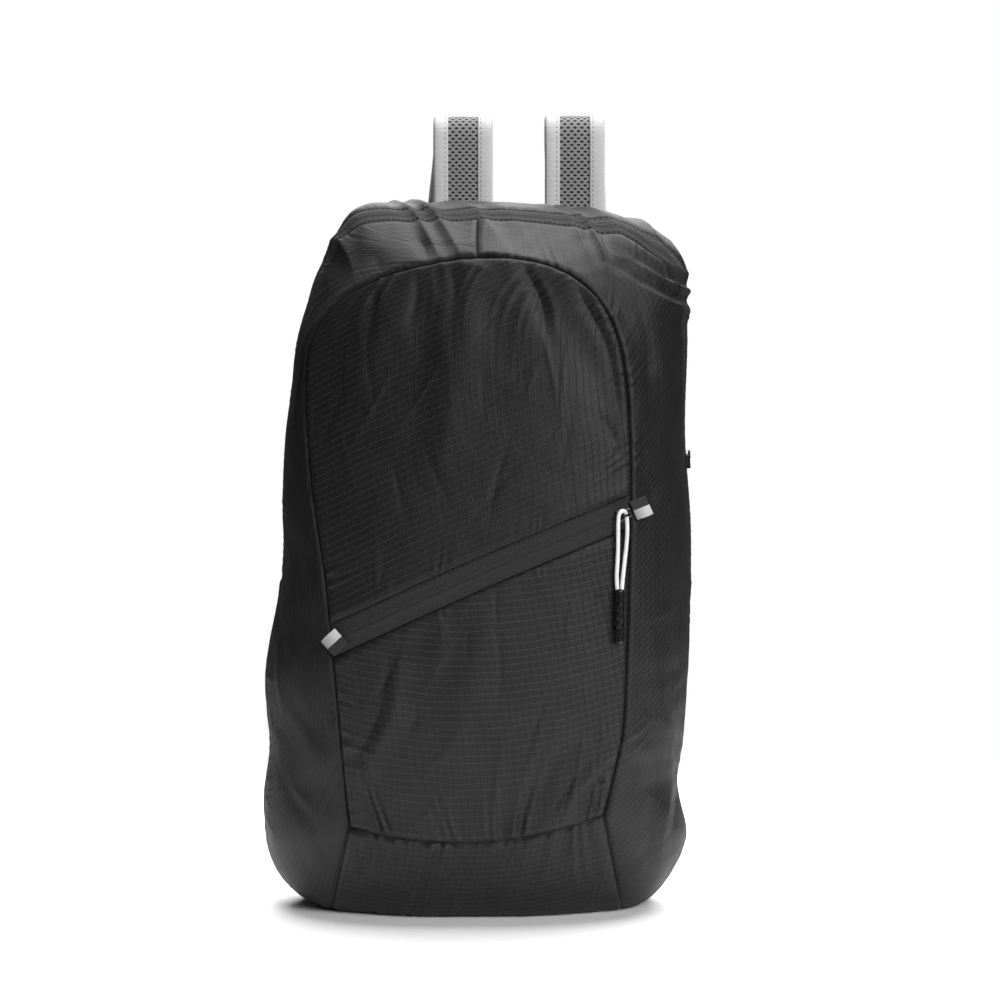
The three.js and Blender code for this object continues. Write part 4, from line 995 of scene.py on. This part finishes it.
def add_front_panels():
    left = front_seam(np.linspace(*LEFT_LOW, 150))
    right = front_seam(np.linspace(*RIGHT_LOW, 150))[::-1]
    bottom = across_front(0, LAST, -BOTTOM_SEAM_SAG, 170)
    low_edge = across_front(LOW_LEFT, LOW_RIGHT, POCKET_ZIP_BOW, 170)
    lower = on_front(patch(bottom, low_edge, left, right))
    add_panel("front_panel_lower", lower, [BODY_SEAM, BODY_SEAM, GATHERED_SEAM, ZIP_SEAM], 0.35, 1)

    up_edge = across_front(UP_LEFT, UP_RIGHT, POCKET_ZIP_BOW, 193)
    crown = front_seam(joined((LEFT_SHOULDER, TOP_CENTRE, 96), (TOP_CENTRE, RIGHT_SHOULDER, 96)))
    left = front_seam(np.linspace(*LEFT_UP, 165))
    right = front_seam(np.linspace(*RIGHT_UP, 165))[::-1]
    upper = on_front(patch(up_edge, crown, left, right))
    add_panel("front_panel_upper", upper, [BODY_SEAM, BODY_SEAM, ZIP_SEAM, CROWN_SEAM], 0.35, 2)


def add_side_band():
    front = lambda station: 0 * station
    back = lambda station: 0 * station + 1
    zip_front = lambda station: zip_edge(station, -1)
    zip_rear = lambda station: zip_edge(station, 1)
    strips = [
        ("band_front_left", 0, TOP_CENTRE, front, zip_front, 400, 46, BODY_SEAM, ZIP_SEAM),
        ("band_front_right", TOP_CENTRE, LAST, front, zip_front, 400, 46, BODY_SEAM, ZIP_SEAM),
        ("band_rear_top", LEFT_ZIP_END, RIGHT_ZIP_END, zip_rear, back, 360, 40, ZIP_SEAM, BODY_SEAM),
        ("side_rear_left", 0, LEFT_ZIP_END, zip_front, back, 150, 50, PLAIN_SEAM, BODY_SEAM),
        ("side_rear_right", RIGHT_ZIP_END, LAST, zip_front, back, 150, 50, PLAIN_SEAM, BODY_SEAM),
    ]
    for seed, (name, start, end, low, high, rows, columns, near, far) in enumerate(strips, 20):
        grid = band_strip(start, end, low, high, rows, columns)
        add_panel(name, grid, [near, far, PLAIN_SEAM, PLAIN_SEAM], 0.6, seed)


def add_back_and_base():
    share = np.linspace(0, 1, 120)[:, None]
    bottom = back_seam(0) * (1 - share) + back_seam(LAST) * share
    bottom[:, 2] -= BACK_SEAM_SAG * 4 * share[:, 0] * (1 - share[:, 0])
    bottom[:, 1] = back_depth(bottom[:, 0], bottom[:, 2])
    crown = back_seam(np.linspace(LEFT_SHOULDER, RIGHT_SHOULDER, 120))
    left = back_seam(joined((*LEFT_LOW, 70), (*LEFT_ZIP, 14), (*LEFT_UP, 84)))
    right = back_seam(joined((*RIGHT_UP, 84), (*RIGHT_ZIP, 14), (*RIGHT_LOW, 70)))[::-1]
    grid = patch(bottom, crown, left, right)
    grid[..., 1] = back_depth(grid[..., 0], grid[..., 2])
    add_panel("back_panel", grid, [BODY_SEAM, BODY_SEAM, BODY_SEAM, BODY_SEAM], 0.5, 30)

    zip_share = float(zip_edge(0.0, -1))
    across = joined((0, zip_share, 60), (zip_share, 1, 60))
    front = across_front(0, LAST, -BOTTOM_SEAM_SAG, 120)
    left = free_band_point(np.zeros(len(across)), across)
    right = free_band_point(np.full(len(across), float(LAST)), across)
    base = on_floor(patch(front, bottom, left, right))
    add_panel("base_panel", base, [PLAIN_SEAM, PLAIN_SEAM, GATHERED_SEAM, BODY_SEAM], 0.5, 31)


# Zips


def zip_relief(grid, v):
    """The closed coil stands up along the middle of the tape, split by the gap between its halves."""
    share = np.linspace(-0.5, 0.5, grid.shape[1])[None]
    coil = COIL_RISE * np.exp(-np.abs(share / COIL_HALF) ** 4)
    gap = -0.7 * MM * np.exp(-((share * ZIP_WIDTH / (0.35 * MM)) ** 2))
    teeth = 0.12 * MM * np.cos(2 * math.pi * v / COIL_TOOTH) * np.exp(-np.abs(share / COIL_HALF) ** 4)
    edge = 0.5 - np.abs(share)
    to_end = np.minimum(v, v[-1:] - v)
    hem = HEM_TUCK * MM * np.exp(-((edge * ZIP_WIDTH / TUCK_REACH) ** 2))
    tuck = -np.maximum(hem, SEAM_TUCK * MM * np.exp(-((to_end / TUCK_REACH) ** 2)))
    ripple = ZIP_RIPPLE * wave(v, ZIP_RIPPLE_PITCH, 77) * np.exp(-edge * 8)
    return coil + gap + teeth + tuck + ripple * (1 - np.exp(-((edge * 12) ** 2)))


def add_zip(name, grid):
    """grid: rows along the zip and columns across its tape."""
    u, v = cloth_lengths(grid)
    rise = body_relief(grid) + zip_relief(grid, v)
    shaped = inset_edges(grid) + rise[..., None] * outward(grid)
    add_piece(name + "_tape", wall_mesh(name, shaped, u, v), TAPE, [name])
    length = v[-1, grid.shape[1] // 2]
    steps = np.arange(STITCH_PITCH, length - STITCH_PITCH, STITCH_PITCH)
    rows = np.interp(steps, v[:, 0], np.arange(len(v)))
    columns = grid.shape[1] - 1
    for side, column in (("low", round(0.09 * columns)), ("high", round(0.91 * columns))):
        line = shaped[:, column]
        places = sampled(line, rows)
        aheads = np.gradient(places, axis=0)
        outs = outward(places)
        across = np.cross(outs, aheads)
        slant = aheads + (0.25 if side == "low" else -0.25) * across
        mesh = stitch_mesh(name, places + 0.15 * MM * outs, slant, outs, STITCH, THREAD_WIDTH)
        add_piece(f"{name}_stitches_{side}", mesh, THREAD, [])


def add_zips():
    share = np.linspace(0, 1, 25)[None, :, None]
    low = across_front(LOW_LEFT, LOW_RIGHT, POCKET_ZIP_BOW, 260)[:, None]
    high = across_front(UP_LEFT, UP_RIGHT, POCKET_ZIP_BOW, 260)[:, None]
    add_zip("pocket_zip", on_front(low * (1 - share) + high * share))
    edges = (lambda station: zip_edge(station, -1)), (lambda station: zip_edge(station, 1))
    add_zip("main_zip", band_strip(LEFT_ZIP_END, RIGHT_ZIP_END, *edges, 760, 25))


# Straps


def smooth_path(points, count):
    """Points at equal steps along a centripetal Catmull-Rom curve."""
    points = np.array(points, float)
    line = np.concatenate([[2 * points[0] - points[1]], points, [2 * points[-1] - points[-2]]])
    t = np.linspace(0, 1, 60)[:, None]
    made = []
    for a, b, c, d in zip(line, line[1:], line[2:], line[3:]):
        before, here, after = (math.sqrt(np.linalg.norm(q - p)) for p, q in ((a, b), (b, c), (c, d)))
        enter = ((b - a) / before - (c - a) / (before + here) + (c - b) / here) * here
        leave = ((c - b) / here - (d - b) / (here + after) + (d - c) / after) * here
        squared = 3 * (c - b) - 2 * enter - leave
        cubed = 2 * (b - c) + enter + leave
        made.append(b + enter * t + squared * t**2 + cubed * t**3)
    dense = np.concatenate([made[0], *(part[1:] for part in made[1:])])
    return resampled(dense, count)


def sampled(line, places):
    """Points of a line at places counted in its rows."""
    return np.stack([np.interp(places, np.arange(len(line)), line[:, k]) for k in range(3)], axis=-1)


def resampled(line, count):
    """The same line with points at equal steps."""
    length = np.concatenate([[0], np.linalg.norm(np.diff(line, axis=0), axis=1).cumsum()])
    at = np.linspace(0, length[-1], count)
    return np.stack([np.interp(at, length, line[:, k]) for k in range(3)], axis=-1)


def band_frames(places, levels=(1, 0, 0)):
    """Places, directions across and directions out along a band that stays level."""
    tangents = np.gradient(places, axis=0)
    tangents /= np.linalg.norm(tangents, axis=1, keepdims=True)
    levels = np.broadcast_to(np.asarray(levels, float), places.shape)
    across = levels - np.sum(levels * tangents, axis=1, keepdims=True) * tangents
    across /= np.linalg.norm(across, axis=1, keepdims=True)
    return places, across, np.cross(across, tangents)


def strap_path(side, x, low_x):
    front_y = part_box(f"strap_{side}_pad")[0].y + STRAP_PAD / 2
    rear_y = front_y + 2 * STRAP_BEND
    bend_z = STRAP_TOP - STRAP_PAD / 2 - STRAP_BEND
    top_z = BAG_HEIGHT * float(along(BAND, "backZ", TOP_CENTRE)) - STRAP_SEAM_DROP

    def low(share):
        z = bend_z + (STRAP_END - bend_z) * share
        px = x + (low_x - x) * share**1.2
        resting = float(back_depth(px, z)) + STRAP_LIFT * (1 - 0.4 * share) + STRAP_PAD / 2
        return px, rear_y + (resting - rear_y) * min(3 * share, 1), z

    return [
        (x, front_y, top_z - STRAP_FOOT),
        (x, front_y, top_z),
        (x, front_y, bend_z - STRAP_BEND / 2),
        (x, front_y + 0.29 * STRAP_BEND, bend_z + 0.71 * STRAP_BEND),
        (x, front_y + STRAP_BEND, bend_z + STRAP_BEND),
        (x, rear_y - 0.29 * STRAP_BEND, bend_z + 0.71 * STRAP_BEND),
        low(0.02),
        low(0.25),
        low(0.5),
        low(0.75),
        low(1),
    ]


def pad_outline():
    """Foam under mesh, crowned between its bindings."""
    core = STRAP_WIDTH / 2 - BINDING_WALL - FIT
    x = np.linspace(core, -core, 25)
    rise = STRAP_PAD / 2 - FIT + PAD_CROWN * (1 - (x / core) ** 2) - PAD_CROWN * np.abs(x / core) ** 12
    return [*zip(x, rise), *zip(x[::-1], -rise[::-1])]


def binding_outline(sign):
    """Tape folded round the edge of the pad."""
    half = STRAP_WIDTH / 2
    face = STRAP_PAD / 2 + FIT
    skin = face + BINDING_WALL
    inner = half - BINDING_WIDTH
    turn = np.linspace(math.pi / 2, -math.pi / 2, 9)
    outside = [(half - 2 * MM + 2 * MM * math.cos(a), (skin - 0.2 * MM) * math.sin(a)) for a in turn]
    edge = half - BINDING_WALL
    inside = [(edge, -face * 0.7), (edge, face * 0.7)]
    lips = [
        (inner, face - 0.1 * MM),
        (inner - 0.1 * MM, skin - 0.4 * MM),
        (inner + 0.5 * MM, skin - 0.1 * MM),
    ]
    under = [(x, -y) for x, y in reversed(lips)]
    outline = [*lips, *outside, *under, (edge - 1 * MM, -face), *inside, (edge - 1 * MM, face)]
    return [(sign * x, y) for x, y in outline]


def add_strap_stitches(side, frames):
    """One row of stitches near the inner edge of each binding, on both faces."""
    place, across, out = frames
    length = np.linalg.norm(np.diff(place, axis=0), axis=1).sum()
    rows = np.linspace(2, len(place) - 3, int(length / STITCH_PITCH))
    offset = STRAP_WIDTH / 2 - BINDING_WIDTH + 1.9 * MM
    height = STRAP_PAD / 2 + FIT + BINDING_WALL - 0.1 * MM
    places, aheads, outs = [], [], []
    for sign in (-1, 1):
        for face in (-1, 1):
            places.append(sampled(place + sign * offset * across + face * height * out, rows))
            aheads.append(np.gradient(sampled(place, rows), axis=0))
            outs.append(face * sampled(out, rows))
    mesh = stitch_mesh(side, *(np.concatenate(part) for part in (places, aheads, outs)), STITCH, THREAD_WIDTH)
    add_piece(f"strap_{side}_stitches", mesh, GREY_THREAD, [])


def add_buckle(side, foot_x, place, across, out):
    """The loop that holds the ladder buckle under the pad, and the webbing that runs through the buckle."""
    ahead = np.cross(out, across)
    spot = lambda down, lift: place + down * ahead + lift * out
    turns = np.linspace(0, math.pi, 13)
    web = rounded_outline((-WEB_WIDTH / 2, -WEB_WALL / 2), (WEB_WIDTH / 2, WEB_WALL / 2), 0.6 * MM)

    def round_bar(down, way):
        reach = way * BAR_REACH
        return [spot(down + reach * math.sin(a), -BAR_REACH * math.cos(a)) for a in turns]

    ply = (WEB_WALL + FIT) / 2
    loop = np.array([spot(FIT, -ply), *round_bar(TOP_BAR, 1), spot(FIT, ply)])
    mesh = carried_mesh("loop", web, band_frames(resampled(loop, 40), across))
    add_piece(f"strap_{side}_loop_webbing", mesh, WEBBING, [f"strap_{side}_loop"])

    foot_z = BAG_HEIGHT * BAND["backZ"][0] + WEB_FOOT_RISE
    on_back = lambda x, z: np.array([x, float(back_depth(x, z)) + 2 * FIT + WEB_WALL / 2, z])
    level = on_back(foot_x + WEB_WIDTH / 2, foot_z) - on_back(foot_x - WEB_WIDTH / 2, foot_z)
    level /= np.linalg.norm(level)
    second = TOP_BAR + BUCKLE_PITCH
    load = [
        on_back(foot_x, foot_z),
        on_back(foot_x, foot_z + WEB_FOOT),
        spot(second + 2 * BUCKLE_PITCH, -BAR_REACH),
        spot(second + 1 * MM, -BAR_REACH),
    ]
    lift = np.array([0, WEB_TAIL_LIFT, 0])
    tail = [spot(second + s * WEB_TAIL, BAR_REACH) + lift * s for s in np.linspace(0, 1, 6)]
    line = np.concatenate([smooth_path(load, 60)[:-1], round_bar(second, -1), tail[1:]])
    places = resampled(line, 160)
    blend = np.clip(np.arange(len(places)) / 45, 0, 1)[:, None]
    mesh = carried_mesh("webbing", web, band_frames(places, level * (1 - blend) + across * blend))
    add_piece(f"strap_{side}_webbing_band", mesh, WEBBING, [f"strap_{side}_webbing"])


def add_straps():
    for strap in STRAPS:
        side = strap["side"]
        frames = band_frames(smooth_path(strap_path(side, strap["x"], strap["low_x"]), 260))
        pad = add_piece(
            f"strap_{side}_mesh",
            carried_mesh("pad", pad_outline(), frames),
            SPACER,
            [f"strap_{side}_pad"],
        )
        for label, sign in (("left", -1), ("right", 1)):
            mesh = carried_mesh("binding", binding_outline(sign), frames)
            node = f"strap_{side}_binding_{label}"
            add_piece(node + "_tape", mesh, BINDING, [node])
        add_strap_stitches(side, frames)
        add_buckle(side, strap["foot_x"], *(line[-1] for line in frames))


# Pull and end tabs


def pocket_zip_line(count=400):
    """The middle of the pocket zip, from left to right."""
    low = across_front(LOW_LEFT, LOW_RIGHT, POCKET_ZIP_BOW, 17)
    high = across_front(UP_LEFT, UP_RIGHT, POCKET_ZIP_BOW, 17)
    return smooth_path(on_front((low + high) / 2), count)


def slider_place():
    line = pocket_zip_line()
    length = np.linalg.norm(np.diff(line, axis=0), axis=1).sum()
    at = (1 - SLIDER_INSET / length) * (len(line) - 1)
    return sampled(line, at)


def round_outline(diameter, sides):
    turn = np.arange(sides) * 2 * math.pi / sides
    return np.stack([np.cos(turn), np.sin(turn)], axis=-1) * diameter / 2


def add_pull():
    """The cord and its grip."""
    path = smooth_path(slider_place() + np.array(CORD_ROUTE) * MM, 160)
    mesh = carried_mesh("cord", round_outline(CORD_DIAMETER, 16), band_frames(path, (0, -1, 0)))
    cord = add_piece("pull_cord_braid", mesh, CORD_BRAID, ["pull_cord"])
    grip = add_grip((path[0] + path[-1]) / 2 - np.array([0, 0, FIT]))


def add_grip(top):
    """A moulded grip: long flats at both ends and four rows of diamonds between them."""
    pitch = GRIP_LENGTH / GRIP_RINGS[-1]
    points, faces = [], []
    for k, ring in enumerate(GRIP_RINGS):
        radius = GRIP_DIAMETER / 2 * (0.72 if k in (0, len(GRIP_RINGS) - 1) else 1)
        shift = 0.5 * (k % 2) if 2 <= k <= 8 else 0
        turn = 2 * math.pi * (np.arange(GRIP_SIDES) + shift) / GRIP_SIDES
        z = np.full(GRIP_SIDES, ring * pitch - GRIP_LENGTH)
        points.append(top + np.stack([radius * np.cos(turn), radius * np.sin(turn), z], axis=-1))
    for k in range(len(GRIP_RINGS) - 1):
        for i in range(GRIP_SIDES):
            j = (i + 1) % GRIP_SIDES
            a, b, c, d = (ring * GRIP_SIDES + n for ring, n in ((k, i), (k, j), (k + 1, j), (k + 1, i)))
            leans = 2 <= k <= 8 and k % 2 == 1
            faces += [(a, b, c), (a, c, d)] if leans else [(a, b, d), (b, c, d)]
    last = (len(GRIP_RINGS) - 1) * GRIP_SIDES
    ends = [list(range(GRIP_SIDES))[::-1], [last + i for i in range(GRIP_SIDES)]]
    mesh = mesh_of("grip", np.concatenate(points), [faces, ends], smooth=False)
    return add_piece("pull_grip_moulding", mesh, ACETAL, ["pull_grip"])


def ribbon_grid(centre, across, lift, curl):
    """A ribbon over the front of the bag: centre is a line of places, and curl lifts the middle of it."""
    share = np.linspace(-0.5, 0.5, 25)[None, :, None]
    run = np.linspace(0, 1, len(centre))[:, None, None]
    grid = centre[:, None] + share * TAB_WIDTH * across
    height = lift + curl * np.sin(math.pi * run) * (0.6 + share)
    return grid + height * outward(grid)


def add_tab(side, line, across, lift, curl):
    grid = ribbon_grid(line, across / np.linalg.norm(across), lift, curl)
    u, v = cloth_lengths(grid)
    mesh = wall_mesh("tab", grid, u, v, TAB_WALL)
    add_piece(f"pocket_tab_{side}_ribbon", mesh, RIBBON, [f"pocket_tab_{side}"])


def add_tabs():
    # Left tab: ends of its middle line and the direction across it, in the photograph's pixels
    ends = [(329.5, 647.5), (342.5, 635)]
    run = np.linspace(-0.05, 1, 30)[:, None]
    (x0, z0), (x1, z1) = (photo_place(px, py, -0.062) for px, py in ends)
    line = np.array([x0, 0, z0]) * (1 - run) + np.array([x1, 0, z1]) * run
    line[:, 1] = front_depth(line[:, 0], line[:, 2])
    ahead = (line[-1] - line[0]) / np.linalg.norm(line[-1] - line[0])
    add_tab("left", line, np.cross(outward(line[15]), ahead), 2.6 * MM, 1.0 * MM)

    middle = np.full(30, (UP_RIGHT + LOW_RIGHT) / 2)
    line = band_point(middle, np.linspace(0.004, 0.082, 30))
    along_zip = front_seam(UP_RIGHT) - front_seam(UP_LEFT)
    add_tab("right", line, np.cross(along_zip, outward(line[0])), 2.2 * MM, 1.2 * MM)


def dress_hard_pieces():
    """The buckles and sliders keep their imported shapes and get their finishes."""
    finishes = {
        "strap_left_buckle": ACETAL,
        "strap_right_buckle": ACETAL,
        "pocket_zip_slider": ZINC,
        "main_zip_slider": ZINC,
    }
    for name, finish in finishes.items():
        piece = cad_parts[name]
        piece.data.materials.clear()
        piece.data.materials.append(finish)


# Studio


def add_floor():
    # Studio floor: a sheet of white paper, past which the room is dim.
    signs = [(-1, -1), (1, -1), (1, 1), (-1, 1)]
    points = [(x * PAPER_REACH, y * PAPER_REACH, 0) for x, y in signs]
    floor = bpy.data.objects.new("paper_floor", mesh_of("floor", points, [[(0, 1, 2, 3)]]))
    bpy.context.collection.objects.link(floor)
    floor.data.materials.append(grained("paper_floor_matt", 0xFAFAFA, 0xFDFDFD, 0.9, 4.0, 0.02, IOR=1.4))


def add_light(name, place, aim, size, power):
    data = bpy.data.lights.new(name, "AREA")
    data.shape = "RECTANGLE"
    data.size, data.size_y = size
    data.energy = power
    lamp = bpy.data.objects.new(name, data)
    lamp.location = place
    lamp.rotation_euler = (Vector(aim) - Vector(place)).to_track_quat("-Z", "Y").to_euler()
    bpy.context.collection.objects.link(lamp)


def add_studio():
    """Soft light from above, softboxes at the right and behind, and a white room that adds little light."""
    world = bpy.data.worlds.new("white_studio")
    world.use_nodes = True
    tree = world.node_tree
    background = tree.nodes["Background"]
    background.inputs["Color"].default_value = linear(0xFFFFFF)
    seen = tree.nodes.new("ShaderNodeLightPath")
    strength = tree.nodes.new("ShaderNodeMapRange")
    tree.links.new(seen.outputs["Is Camera Ray"], strength.inputs["Value"])
    strength.inputs["To Min"].default_value = ROOM_FILL
    tree.links.new(strength.outputs["Result"], background.inputs["Strength"])
    bpy.context.scene.world = world
    sky = bpy.data.lights.new("overhead_diffuser", "SUN")
    sky.energy = OVERHEAD
    sky.angle = math.radians(SKY_WIDTH)
    lamp = bpy.data.objects.new("overhead_diffuser", sky)
    lamp.rotation_euler = Vector(SKY_DIRECTION).to_track_quat("-Z", "Y").to_euler()
    bpy.context.collection.objects.link(lamp)
    for softbox in SOFTBOXES:
        add_light(*softbox)
    bpy.context.scene.view_settings.view_transform = "Standard"


add_camera()
add_pull()
add_front_panels()
add_side_band()
add_back_and_base()
add_zips()
add_straps()
add_tabs()
dress_hard_pieces()
add_floor()
add_studio()
